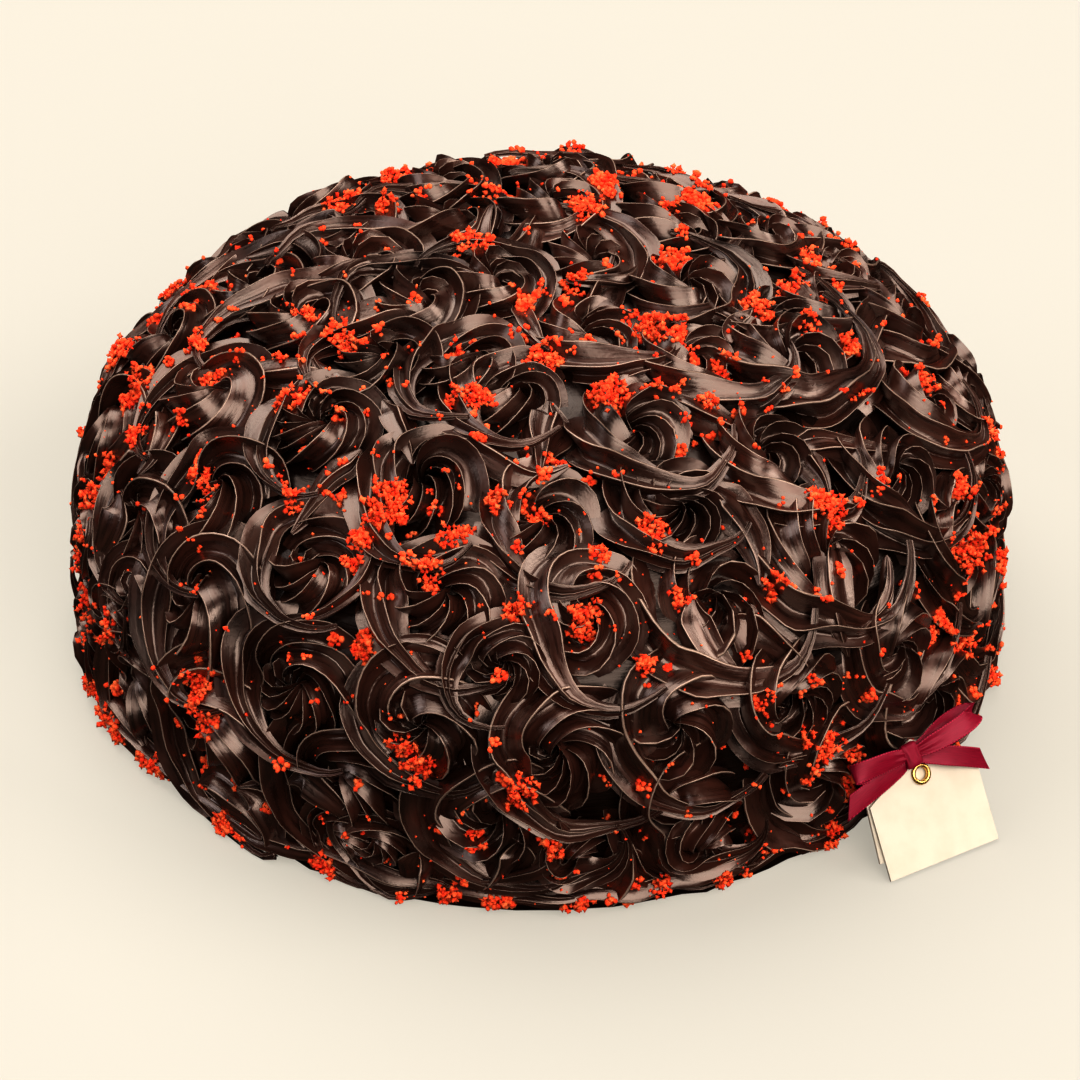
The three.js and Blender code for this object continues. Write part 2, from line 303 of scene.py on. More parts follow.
def outlineTable():
    shape = outlineShape
    climb = np.arange(shape["wallSteps"]) / shape["wallSteps"]
    swell = shape["waistRadius"] - shape["footRadius"]
    wallRadius = shape["footRadius"] + swell * np.sin(climb * math.pi / 2)
    wallHeight = shape["waistHeight"] * climb
    angle = np.arange(shape["domeSteps"] + 1) / shape["domeSteps"] * math.pi / 2
    power = 2 / shape["domePower"]
    domeRadius = shape["waistRadius"] * np.clip(np.cos(angle), 0, 1) ** power
    domeRadius[-1] = 0
    domeHeight = shape["waistHeight"] + (shape["height"] - shape["waistHeight"]) * np.sin(angle) ** power
    line = np.stack([np.append(wallRadius, domeRadius), np.append(wallHeight, domeHeight)], axis=1)
    steps = np.arange(len(line))
    along = unit(line[np.minimum(steps + 1, len(line) - 1)] - line[np.maximum(steps - 1, 0)])
    out = np.stack([along[:, 1], -along[:, 0]], axis=1)
    arc = np.append(0, np.cumsum(np.linalg.norm(np.diff(line, axis=0), axis=1)))
    return line, along, out, arc


outline, outlineAlong, outlineOut, outlineArc = outlineTable()
topArc = outlineArc[-1]


def nearestOnOutline(places):
    starts = outline[:-1]
    spans = outline[1:] - starts
    spanSquares = (spans ** 2).sum(1)
    found = []
    for part in np.array_split(places, max(1, len(places) // 4000 + 1)):
        offset = part[:, None, :] - starts[None]
        share = np.clip((offset * spans).sum(2) / spanSquares, 0, 1)
        distance = ((offset - share[..., None] * spans) ** 2).sum(2)
        best = distance.argmin(1)
        t = share[np.arange(len(part)), best][:, None]
        foot = starts[best] + t * spans[best]
        out = unit(outlineOut[best] * (1 - t) + outlineOut[best + 1] * t)
        found.append(np.concatenate([foot, out], axis=1))
    return np.concatenate(found)


def sideSpread(angle, height):
    shape = outlineShape
    sideways = (np.abs(np.sin(angle)) - shape["sideStart"]) / (shape["sideFull"] - shape["sideStart"])
    return shape["sideSpread"] * smoothStep(sideways) * (1 - smoothStep(height / shape["waistHeight"]))


def onCake(turn, arc, east=0.0, up=0.0, lift=0.0):
    # a point on the cake and its outward direction; turn is in degrees from the front, arc up from the foot
    given = [np.asarray(values, float) for values in (turn, arc, east, up, lift)]
    turn, arc, east, up, lift = np.broadcast_arrays(*given)
    baseRadius = np.interp(arc, outlineArc, outline[:, 0])
    baseHeight = np.interp(arc, outlineArc, outline[:, 1])
    alongRadius = np.interp(arc, outlineArc, outlineAlong[:, 0])
    alongHeight = np.interp(arc, outlineArc, outlineAlong[:, 1])
    reach = baseRadius + up * alongRadius
    places = np.stack([np.hypot(reach, east), baseHeight + up * alongHeight], axis=-1)
    found = nearestOnOutline(places.reshape(-1, 2)).reshape(*places.shape[:-1], 4)
    angle = np.radians(turn) + np.arctan2(east, reach)
    radius = found[..., 0] + lift * found[..., 2] + sideSpread(angle, found[..., 1])
    height = found[..., 1] + lift * found[..., 3]
    point = np.stack([radius * np.sin(angle), -radius * np.cos(angle), height], axis=-1)
    level = found[..., 2]
    outward = np.stack([level * np.sin(angle), -level * np.cos(angle), found[..., 3]], axis=-1)
    return point, outward


# a rope is the star-shaped line that comes out of a piping nozzle
ropeShape = {
    "flutePlaces": (0.032, 0.12, 0.28, 0.55, 0.83, 0.968),   # across a flute, from lip to lip
    "fluteDepths": (0.0, 0.80, 1.0, 0.70, 0.26, 0.0),   # steep on the side of the rosette's eye
    "wide": 1.04,
    "tall": 0.92,
    "lipUneven": 0.19,
    "lipShift": 0.2,        # share of the space between lips
    "driftLength": (9, 22),
    "drift": 0.7,
    "depthScatter": 0.3,
    "capWeight": 0.2,       # how far a rope's end rounds the shading beside it
    "longSway": (24, 1.3),  # wavelength and size
    "shortSway": (9, 0.32),
}


def ringFaces(rows, columns):
    # the four corners of each face between rows of points that close into rings
    i, j = np.meshgrid(np.arange(rows - 1), np.arange(columns), indexing="ij")
    i, j = i.ravel(), j.ravel()
    after = (j + 1) % columns
    here, beyond = i * columns, (i + 1) * columns
    return i, j, np.stack([here + j, here + after, beyond + after, beyond + j], 1)


def pipedRope(centre, outward, radius, twist, seed, ridges, depth):
    shape = ropeShape
    rng = np.random.RandomState(seed)
    stations = len(centre)
    tangent = unit(np.gradient(centre, axis=0))
    side = unit(np.cross(outward, tangent))
    raised = np.cross(tangent, side)
    steps = np.append(0, np.cumsum(np.linalg.norm(np.diff(centre, axis=0), axis=1)))
    # every lip has its own place round the rope and its own height, which drifts along the rope
    spacing = 2 * math.pi / ridges
    shift = shape["lipShift"]
    lipTurn = np.arange(ridges) * spacing + rng.uniform(-shift, shift, ridges) * spacing
    drift = np.sin(steps[:, None] / rng.uniform(*shape["driftLength"], ridges) + rng.uniform(0, 6.3, ridges))
    lipHeight = 1 + (rng.uniform(-1, 1, ridges) + shape["drift"] * drift) * shape["lipUneven"]
    share = np.array(shape["flutePlaces"])
    columns = ridges * len(share)
    nextTurn = np.append(lipTurn[1:], lipTurn[0] + 2 * math.pi)
    columnTurn = (lipTurn[:, None] * (1 - share) + nextTurn[:, None] * share).ravel()
    floor = np.array(shape["fluteDepths"])
    nextHeight = np.roll(lipHeight, -1, axis=1)
    rim = lipHeight[:, :, None] * (1 - share) + nextHeight[:, :, None] * share
    deepening = depth * (1 + shape["depthScatter"] * rng.uniform(-1, 1, ridges))[None, :, None]
    reach = (rim - deepening * floor).reshape(stations, columns) * radius[:, None]
    angle = columnTurn[None] + twist[:, None]
    points = centre[:, None] + (reach * np.cos(angle) * shape["wide"])[..., None] * side[:, None]
    points = points + (reach * np.sin(angle) * shape["tall"])[..., None] * raised[:, None]
    points = np.concatenate([points.reshape(-1, 3), centre[:1], centre[-1:]])
    i, j, quads = ringFaces(stations, columns)
    ring = np.arange(columns)
    ringNext = (ring + 1) % columns
    first, last = len(points) - 2, len(points) - 1
    startCap = np.stack([np.full(columns, first), ringNext, ring], 1)
    end = (stations - 1) * columns
    endCap = np.stack([np.full(columns, last), end + ring, end + ringNext], 1)
    # the flow map runs in millimetres: along the rope, then round it
    around = float(np.mean(radius)) * 2 * math.pi / columns
    offset = rng.uniform(0, 500)
    u0, u1 = steps[i] + offset, steps[i + 1] + offset
    quadFlow = np.stack([u0, j * around, u0, (j + 1) * around, u1, (j + 1) * around, u1, j * around], 1)
    capFlow = np.full((2 * columns, 6), offset)
    flow = np.concatenate([quadFlow.reshape(-1, 2), capFlow.reshape(-1, 2)])
    # the two lines of points that make a lip's narrow top are numbered, the others are -1
    column = np.arange(len(points)) % columns
    isLip = np.isin(column % len(share), (0, len(share) - 1))
    lips = np.where(isLip & (np.arange(len(points)) < stations * columns), column, -1)
    return points, quads, np.concatenate([startCap, endCap]), flow, lips


def joinRopes(ropes):
    points, quads, triangles, quadFlow, capFlow, lips = [], [], [], [], [], []
    count = 0
    for ropePoints, ropeQuads, ropeTriangles, ropeFlow, ropeLips in ropes:
        points.append(ropePoints)
        quads.append(ropeQuads + count)
        triangles.append(ropeTriangles + count)
        quadFlow.append(ropeFlow[:ropeQuads.size])
        capFlow.append(ropeFlow[ropeQuads.size:])
        lips.append(ropeLips)
        count += len(ropePoints)
    flow = np.concatenate(quadFlow + capFlow)
    faceLists = [np.concatenate(quads), np.concatenate(triangles)]
    return np.concatenate(points), faceLists, flow, np.concatenate(lips)


def roundLips(piece, points, faceLists, lips):
    # the narrow top of each lip is shaded as a round edge between its two flutes, and its lighter colour is a
    # painted highlight
    quads = faceLists[0]
    across = points[quads[:, 2]] - points[quads[:, 0]]
    faceNormals = np.cross(across, points[quads[:, 3]] - points[quads[:, 1]])
    onTop = (lips[quads] >= 0).all(axis=1)
    normals = np.zeros_like(points)
    for corner in range(4):
        np.add.at(normals, quads[~onTop, corner], faceNormals[~onTop])
    triangles = faceLists[1]
    ends = np.cross(points[triangles[:, 1]] - points[triangles[:, 0]],
                    points[triangles[:, 2]] - points[triangles[:, 0]])
    for corner in range(3):
        np.add.at(normals, triangles[:, corner], ends * ropeShape["capWeight"])
    piece.data.materials.append(paintedLipHighlight)
    slots = np.concatenate([onTop, np.zeros(len(triangles), bool)]).astype(np.int32)
    piece.data.polygons.foreach_set("material_index", slots)
    piece.data.normals_split_custom_set_from_vertices(unit(normals).tolist())


creamPieces = []   # points and faces of every ganache piece, for setting crumbs on them


def pipedPiece(name, ropes):
    points, faceLists, flow, lips = joinRopes(ropes)
    # the whole cake wanders together, so ropes that touch stay together
    long = wander(points, *ropeShape["longSway"], 5)
    points = points + long + wander(points, *ropeShape["shortSway"], 6)
    points[:, 2] = np.maximum(points[:, 2], 0)
    piece = makePiece(name, points, faceLists, ganache, flow)
    roundLips(piece, points, faceLists, lips)
    creamPieces.append((points, faceLists))
    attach(piece, "root")
    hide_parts("frosted_cake")
    print(name, "made,", countTriangles(piece), "triangles")


def creamTree():
    points, faces, count = [], [], 0
    for piecePoints, faceLists in creamPieces:
        points.extend(piecePoints.tolist())
        for part in faceLists:
            faces.extend((part + count).tolist())
        count += len(piecePoints)
    return BVHTree.FromPolygons(points, faces)


probeLook = {"start": 16.0, "length": 40.0, "missed": -6.0}    # a ray from outside in to the ganache


def surfaceLift(tree, turn, arc, east=0.0, up=0.0):
    # how far the ganache stands above the outline there
    look = probeLook
    starts, outward = onCake(turn, arc, east, up, look["start"])
    lifts = []
    for point, direction in zip(starts, outward):
        _, _, _, distance = tree.ray_cast(point.tolist(), (-direction).tolist(), look["length"])
        lifts.append(look["start"] - distance if distance is not None else look["missed"])
    return np.array(lifts)


# each row: its reach, how many sit out of the photo's sight, and the turn and arc of those in sight
rosetteRows = [
    {"name": "rosettes_foot", "reach": 21.5, "unseen": 10, "seen": [
        (-77, 27), (-59, 25), (-42, 34), (-24, 33), (-6, 33), (16, 31), (34, 27), (53, 29), (71, 30)]},
    {"name": "rosettes_waist", "reach": 19, "unseen": 9, "seen": [
        (-84, 74), (-66, 73), (-48, 70), (-31, 63), (-15, 63), (3, 57), (16, 58), (31, 57), (47, 54),
        (63, 61), (80, 62)]},
    {"name": "rosettes_shoulder", "reach": 19.5, "unseen": 8, "seen": [
        (-76, 111), (-55, 97), (-35, 97), (-15, 97), (6, 91), (23, 88), (42, 88), (61, 92), (80, 91)]},
    {"name": "rosettes_slope", "reach": 18.5, "unseen": 5, "seen": [
        (-106, 118), (-89, 138), (-49, 129), (-23, 126), (1, 121), (23, 120), (45, 119), (74, 134),
        (99, 122)]},
    {"name": "rosettes_top", "reach": 19, "unseen": 2, "seen": [
        (-116, 149), (-62, 158), (-13, 160), (26, 146), (57, 156), (89, 141), (98, 164), (139, 146)]},
    {"name": "rosettes_crown", "reach": 18, "unseen": 0, "seen": [
        (-92, 174), (-34, 171), (148, 180), (40, 184), (-130, 190)]},
]

rosetteLook = {
    "stations": 56,
    "wraps": 1.62,
    "wrapScatter": 0.25,
    "windPower": 0.7,      # turns go by faster toward the eye
    "grow": 1.27,          # each spreads over its neighbours
    "growScatter": 0.13,
    "ridges": (6, 7, 7, 8),
    "fluteDepth": (0.52, 0.68),
    "ropeShare": 0.35,     # rope radius as a share of the rosette's reach
    "ropeScatter": (0.95, 1.06),
    "spiralPower": (0.7, 1.05),
    "tailTurns": 0.38,     # turns over which the tail widens
    "tailTip": 0.1,        # its first radius, as a share of the rope's
    "tailHeight": 0.15,    # and its first height
    "tailReach": (0.9, 1.7),    # how far out the tail's tip lies, in rope radii
    "crest": 1.6,
    "levelScatter": 1.5,
    "tailSink": -0.4,
    "eyeSink": 3.4,
    "eyeNarrowing": 0.35,
    "eyeTurns": 0.55,      # turns over which the rope narrows to the eye
    "eyeReach": 1.2,
    "eyeOff": 3.5,
    "twistTurns": -1.25,   # turns of the lips round the rope for each turn of the rosette
    "twistScatter": (0.7, 1.2),
    "twistPower": 1.7,
    "oval": 0.14,
    "tailTurn": -34,
    "tailDrift": 0.25,
    "tailScatter": 14,
    "reachScatter": 1.6,
    "arcScatter": 3,
}


def placeRosettes():
    places = []
    for row, entry in enumerate(rosetteRows):
        seen = entry["seen"]
        step = (seen[0][0] + 360 - seen[-1][0]) / (entry["unseen"] + 1)
        meanArc = sum(arc for _, arc in seen) / len(seen)
        spots = list(seen)
        for i in range(1, entry["unseen"] + 1):
            spots.append((seen[-1][0] + step * i, meanArc + scatter(row, i, rosetteLook["arcScatter"])))
        places.extend({"row": row, "turn": t, "arc": a, "reach": entry["reach"]} for t, a in spots)
    for i, place in enumerate(places):
        front = math.sin(math.radians(place["turn"])) * 90
        place["reach"] += scatter(11, i, rosetteLook["reachScatter"])
        tailTurn = rosetteLook["tailTurn"] + rosetteLook["tailDrift"] * front
        place["tailTurn"] = tailTurn + scatter(12, i, rosetteLook["tailScatter"])
    return places


def rosetteRope(place, seed, stations=rosetteLook["stations"]):
    look = rosetteLook
    rng = np.random.RandomState(seed)
    wraps = look["wraps"] + rng.uniform(-1, 1) * look["wrapScatter"]
    share = np.linspace(0, 1, stations)
    travel = wraps * (1 - (1 - share) ** look["windPower"])      # turns gone from the tail
    reach = place["reach"] * (look["grow"] + rng.uniform(-1, 1) * look["growScatter"])
    full = reach * look["ropeShare"] * rng.uniform(*look["ropeScatter"])
    widening = smoothStep(travel / look["tailTurns"])
    narrowing = smoothStep((travel - wraps + look["eyeTurns"]) / look["eyeTurns"])
    radius = full * (look["tailTip"] + (1 - look["tailTip"]) * widening)
    radius = radius * (1 - look["eyeNarrowing"] * narrowing)
    path = (reach - full) * (1 - travel / wraps) ** rng.uniform(*look["spiralPower"]) + look["eyeReach"]
    path = path + (1 - widening) * full * rng.uniform(*look["tailReach"])
    angle = np.radians(place["tailTurn"]) - 2 * math.pi * travel
    squeeze = rng.uniform(-1, 1) * look["oval"]
    # the eye sits a little off the middle
    off = rng.uniform(-1, 1, 2) * look["eyeOff"] * (travel / wraps)[:, None]
    east = path * np.cos(angle) * (1 + squeeze) + off[:, 0]
    up = path * np.sin(angle) * (1 - squeeze) + off[:, 1]
    tailLift = look["tailHeight"] + (1 - look["tailHeight"]) * widening
    lift = look["crest"] - full * ropeShape["tall"] * tailLift
    lift = lift - look["tailSink"] * (1 - widening) - look["eyeSink"] * narrowing
    lift = lift + rng.uniform(-1, 0.5) * look["levelScatter"]
    centre, outward = onCake(place["turn"], place["arc"], east, up, lift)
    winding = wraps * (travel / wraps) ** look["twistPower"]
    start = rng.uniform(0, 6.3)
    twist = start + 2 * math.pi * look["twistTurns"] * rng.uniform(*look["twistScatter"]) * winding
    ridges = look["ridges"][rng.randint(len(look["ridges"]))]
    return pipedRope(centre, outward, radius, twist, seed + 1, ridges, rng.uniform(*look["fluteDepth"]))


rosettePlaces = placeRosettes()
for row, entry in enumerate(rosetteRows):
    ropes = [rosetteRope(place, 100 + 7 * i) for i, place in enumerate(rosettePlaces) if place["row"] == row]
    pipedPiece(entry["name"], ropes)

# the ganache under the rosettes, seen in the gaps; its much darker colour is painted shade, so that the gaps
# read as black
coreLook = {
    "depth": 6.5,
    "around": 128,
    "along": 56,
    "uneven": 1.4,
    "waves": (14, 5),
    "sinkHeight": 9,     # it goes in to its depth over the first millimetres of height
}


def coreBody():
    look = coreLook
    turn = np.arange(look["around"]) * 360 / look["around"]
    arc = np.linspace(0, topArc, look["along"])[:-1]
    turns, arcs = np.meshgrid(turn, arc, indexing="ij")
    point, outward = onCake(turns.ravel(), arcs.ravel())
    longWave, shortWave = look["waves"]
    ridge = wander(point, longWave, look["uneven"], 31)[:, :1]
    ridge = ridge + wander(point, shortWave, 0.5 * look["uneven"], 32)[:, :1]
    sink = look["depth"] * smoothStep(point[:, 2:3] / look["sinkHeight"] + 0.25)
    point = point - outward * (sink + ridge)
    point[arcs.ravel() == 0, 2] = 0
    rows = len(arc)
    i, j = np.meshgrid(np.arange(look["around"]), np.arange(rows - 1), indexing="ij")
    i, j = i.ravel(), j.ravel()
    after = (i + 1) % look["around"]
    quads = np.stack([i * rows + j, after * rows + j, after * rows + j + 1, i * rows + j + 1], 1)
    ring = np.arange(look["around"])
    ringNext = (ring + 1) % look["around"]
    foot = len(point)
    ends = np.array([[0, 0, 0], [0, 0, outlineShape["height"] - look["depth"]]])
    under = np.stack([np.full(len(ring), foot), ringNext * rows, ring * rows], 1)
    over = np.stack([np.full(len(ring), foot + 1), ring * rows + rows - 1, ringNext * rows + rows - 1], 1)
    point = np.concatenate([point, ends])
    point[:, 2] = np.maximum(point[:, 2], 0)
    flow = np.zeros(((quads.size + under.size + over.size), 2))
    corners = np.concatenate([quads.ravel(), under.ravel(), over.ravel()])
    flow[:, 0] = np.degrees(np.arctan2(point[corners, 0], -point[corners, 1]))
    flow[:, 1] = point[corners, 2]
    faceLists = [quads, np.concatenate([under, over])]
    piece = makePiece("ganache_core", point, faceLists, paintedGapShade, flow)
    creamPieces.append((point, faceLists))
    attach(piece, "root")
    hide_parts("frosted_cake")
    print("ganache_core made,", countTriangles(piece), "triangles")


coreBody()

fillLook = {
    "curls": 20,            # small rosettes, in the widest gaps
    "curlReach": (9.0, 13.0),
    "curlStations": 36,
    "curlWidth": 5.0,       # how far to each side a gap is measured
    "curlTail": (-120, 60),
    "dabs": 74,
    "dabWidth": 3.0,
    "spacing": 10.0,
    "lookStep": 4.0,
    "length": (20, 36),
    "radius": (4.6, 7.2),
    "ridges": 5,
    "direction": -70,       # degrees, the way the points of most dabs look
    "directionScatter": 75,
    "bend": 0.7,
    "before": 0.42,         # share of its length on the near side of its place
    "widest": (0.22, 0.25), # shares of its length where the swelling ends and the taper begins
    "tip": 0.12,            # the tip's radius, as a share of the whole
    "sunk": 0.8,            # how deep its middle lies, in radii
    "levelScatter": (-1.2, 0.6),
    "tipSink": 0.8,
    "twist": 0.9,
    "fluteDepth": 0.42,
    "stations": 22,
}


def lowPlaces(count, width):
    # the lowest places between the rosettes, found by looking in from outside
    look = fillLook
    cream = creamTree()
    turns, arcs = [], []
    for arc in np.arange(look["lookStep"], topArc, look["lookStep"]):
        number = int(2 * math.pi * np.interp(arc, outlineArc, outline[:, 0]) / look["lookStep"]) + 1
        turns.extend(np.arange(number) * 360 / number)
        arcs.extend([arc] * number)
    turns, arcs = np.array(turns), np.array(arcs)
    level = np.zeros(len(turns))
    for east, up in ((0, 0), (width, 0), (-width, 0), (0, width), (0, -width)):
        level += surfaceLift(cream, turns, arcs, east, up) / 5
    spots, _ = onCake(turns, arcs)
    chosen = []
    while len(chosen) < count:
        lowest = int(level.argmin())
        chosen.append((turns[lowest], arcs[lowest], level[lowest]))
        level[np.linalg.norm(spots - spots[lowest], axis=1) < look["spacing"]] = 99
    print("low places chosen, the last", round(chosen[-1][2], 1), "mm from the outline")
    return [(turn, arc) for turn, arc, _ in chosen]


def smallCurl(turn, arc, seed):
    look = fillLook
    rng = np.random.RandomState(seed)
    place = {"turn": turn, "arc": arc, "reach": rng.uniform(*look["curlReach"])}
    place["tailTurn"] = rng.uniform(*look["curlTail"])
    return rosetteRope(place, seed, look["curlStations"])


def fillDab(turn, arc, seed):
    look = fillLook
    rng = np.random.RandomState(seed)
    share = np.linspace(0, 1, look["stations"])
    length = rng.uniform(*look["length"])
    full = rng.uniform(*look["radius"])
    heading = math.radians(look["direction"] + rng.uniform(-1, 1) * look["directionScatter"])
    bend = rng.uniform(-look["bend"], look["bend"])
    along = (share - look["before"]) * length
    angle = heading + bend * (share - 0.5)
    east = along * np.cos(angle)
    up = along * np.sin(angle)
    swelled, taper = look["widest"]
    bulb = smoothStep(share / swelled) * (1 - smoothStep((share - taper) / (1 - taper)))
    radius = full * (look["tip"] + (1 - look["tip"]) * np.sqrt(np.clip(bulb, 0, 1)))
    lift = rng.uniform(*look["levelScatter"]) - look["sunk"] * radius - look["tipSink"] * (1 - bulb)
    centre, outward = onCake(turn, arc, east, up, lift)
    twist = rng.uniform(0, 6.3) + rng.uniform(-look["twist"], look["twist"]) * share
    return pipedRope(centre, outward, radius, twist, seed + 1, look["ridges"], look["fluteDepth"])


curlPlaces = lowPlaces(fillLook["curls"], fillLook["curlWidth"])
pipedPiece("ganache_curls", [smallCurl(t, a, 2000 + 5 * i) for i, (t, a) in enumerate(curlPlaces)])
dabPlaces = lowPlaces(fillLook["dabs"], fillLook["dabWidth"])
pipedPiece("ganache_dabs", [fillDab(t, a, 3000 + 5 * i) for i, (t, a) in enumerate(dabPlaces)])

ribbonLook = {
    "count": 20,
    "sweep": (55, 120),     # degrees round the rosette that each hugs
    "hug": 0.93,            # how far from the rosette's middle it starts, as a share of the reach
    "leave": 0.16,          # how much further out it ends
    "radius": (2.0, 3.2),
    "tip": 0.1,
    "crest": 0.3,
    "sunk": 0.8,
    "tipSink": 0.8,
    "twist": 1.5,
    "stations": 28,
    "ridges": 5,
    "fluteDepth": 0.4,
    "footCount": 17,
    "footRadius": (3.0, 4.6),
    "footSweep": (24, 40),
    "footStations": 38,
    "footArc": (2.5, 5.5),
    "footTip": 0.12,
    "footCrest": 0.2,
    "footTwist": 1.2,
    "footFluteDepth": 0.34,
}


def rimRibbon(place, seed):
    look = ribbonLook
    rng = np.random.RandomState(seed)
    share = np.linspace(0, 1, look["stations"])
    sweep = rng.uniform(*look["sweep"])
    start = rng.uniform(0, 360)
    angle = np.radians(start - sweep * share)
    path = place["reach"] * (look["hug"] + look["leave"] * share) + rng.uniform(-1, 1)
    full = rng.uniform(*look["radius"])
    swell = np.sin(math.pi * share ** 0.8) ** 0.7
    radius = full * (look["tip"] + (1 - look["tip"]) * swell)
    lift = look["crest"] - radius * look["sunk"] - look["tipSink"] * (1 - swell)
    centre, outward = onCake(place["turn"], place["arc"], path * np.cos(angle), path * np.sin(angle), lift)
    twist = rng.uniform(0, 6.3) + look["twist"] * share
    return pipedRope(centre, outward, radius, twist, seed + 1, look["ridges"], look["fluteDepth"])


def footRibbon(number, seed):
    look = ribbonLook
    rng = np.random.RandomState(seed)
    share = np.linspace(0, 1, look["footStations"])
    sweep = rng.uniform(*look["footSweep"])
    turn = number * 360 / look["footCount"] + rng.uniform(-4, 4) + sweep * share
    arc = rng.uniform(*look["footArc"]) + 5 * (share - 0.3) ** 2
    full = rng.uniform(*look["footRadius"])
    swell = np.sin(math.pi * share) ** 0.5
    radius = full * (look["footTip"] + (1 - look["footTip"]) * swell)
    centre, outward = onCake(turn, arc, 0, 0, look["footCrest"] - radius * look["sunk"])
    twist = rng.uniform(0, 6.3) + look["footTwist"] * share
    return pipedRope(centre, outward, radius, twist, seed + 1, look["ridges"], look["footFluteDepth"])


ribbons = []
for i in range(ribbonLook["count"]):
    ribbons.append(rimRibbon(rosettePlaces[(i * 37) % len(rosettePlaces)], 5000 + 5 * i))
for i in range(ribbonLook["footCount"]):
    ribbons.append(footRibbon(i, 6000 + 5 * i))
pipedPiece("ganache_ribbons", ribbons)

# each clump of red crumb is a turn, an arc and a radius
clumpLook = {
    "grow": 1.36,
    "seen": [
        (65, 61, 8.0), (70, 173, 7.6), (-26, 116, 7.0), (22, 158, 6.8), (56, 46, 6.2), (-84, 86, 6.0),
        (46, 99, 5.8), (-14, 49, 5.5), (6, 90, 5.5), (34, 41, 5.2), (-42, 38, 5.2), (-21, 154, 5.2),
        (-101, 72, 6.0), (-14, 115, 5.0), (-2, 45, 5.0), (18, 112, 5.0), (100, 134, 5.0), (120, 194, 4.6),
        (88, 147, 5.0), (83, 96, 4.9), (60, 165, 4.8), (2, 177, 4.8), (-59, 128, 4.8), (-43, 48, 4.7),
        (-138, 117, 4.7), (-22, 79, 4.5), (-74, 149, 4.3), (-106, 104, 4.0), (-62, 4, 4.0), (-16, 100, 4.0),
        (89, 59, 4.0), (-138, 175, 4.2), (-40, 4, 3.8), (37, 4, 3.8), (-26, 4, 3.7), (-11, 3, 3.7),
        (84, 131, 3.8), (-78, 111, 3.8), (-5, 3, 3.3), (4, 3, 3.2), (-89, 89, 3.3), (-88, 139, 3.8),
        (-66, 151, 3.8), (-74, 132, 3.0), (-74, 87, 3.8), (-58, 96, 3.2), (-77, 59, 3.3), (-42, 108, 3.3),
        (-27, 105, 3.5), (-27, 98, 2.8), (37, 152, 4.4), (85, 118, 3.8), (60, 149, 3.2), (9, 109, 3.3),
        (-3, 93, 3.0), (1, 27, 3.6), (-53, 4, 3.3), (27, 9, 2.6), (164, 156, 7.0),
        (143, 145, 4.6), (114, 121, 3.2), (138, 98, 3.0), (120, 100, 2.8), (156, 101, 3.2), (-115, 79, 4.4),
        (-88, 110, 3.6), (39, 19, 4.4), (39, 31, 3.2), (-62, 39, 3.4), (-73, 27, 5.0), (-75, 64, 3.6),
        (-73, 53, 3.0), (-41, 171, 3.0), (-35, 199, 2.8), (-8, 123, 3.0), (0, 121, 3.0), (3, 139, 2.6),
        (70, 75, 4.2), (71, 48, 4.4),
        (32, 88, 3.0), (13, 77, 2.8), (19, 92, 2.8), (26, 61, 3.0), (31, 46, 3.0), (44, 142, 3.0),
        (-7, 27, 3.2), (-16, 54, 3.4), (-55, 94, 3.0), (-85, 143, 2.8), (-142, 132, 3.6),
        (-71, 21, 3.4), (-72, 34, 3.2), (-74, 44, 3.2), (-70, 5, 3.6), (-65, 4, 3.4), (-78, 70, 3.8),
        (-55, 4, 3.0), (79, 54, 3.8), (77, 30, 3.6), (74, 14, 3.8), (87, 60, 3.6), (72, 4, 3.6),
        (85, 70, 3.4), (68, 50, 3.6), (62, 34, 4.0), (14, 6, 3.4), (22, 4, 3.2)],
    # out of the photo's sight: the largest lie where the solid has them, the rest at random
    "unseenLarge": 6,
    "largeStart": 105,
    "largeSpan": 150,
    "largeLow": 5,
    "largeShort": 45,             # how much less than the whole arc they spread over
    "unseen": 38,
    "unseenRadius": (2.6, 6.4),
    "unseenTurn": (103, 257),
    "unseenArc": (4, 41),         # clear of the foot and of the crown
    "unseenApart": 21,
    "scattered": 180,
    "scatteredRadius": (1.5, 3.0),
    "nodule": (0.55, 1.0),
    "pitch": 1.2,
    "pitchScatter": (0.8, 1.15),
    "closest": 0.62,      # share of the pitch
    "fill": 1.6,
    "lobes": (0.6, 1.1),  # how far a clump goes in each of seven directions, in radii
    "lobeCount": 7,
    "middle": 0.62,       # share of the radius that can have a second layer
    "second": 0.6,        # share of the middle that has one
    "secondScatter": 0.6,
    "layer": 1.1,
    "deepest": 1.1,       # how far a grain can drop below its clump
    "stand": 0.45,        # how far a grain stands out, as a share of its size
}

bitLook = {
    "small": 540,         # groups of two to six grains
    "smallCount": (2, 7),
    "smallGrain": (0.45, 0.85),
    "smallPitch": 0.95,
    "single": 1900,       # grains on their own
    "grain": (0.28, 0.62),
    "nearClumps": 0.45,
    "spread": 5,          # how far past a clump's edge they lie
    "stand": 0.35,
}

grainLook = {"waist": 0.74, "tips": 1.24, "uneven": 0.27, "stretch": (0.78, 1.22)}


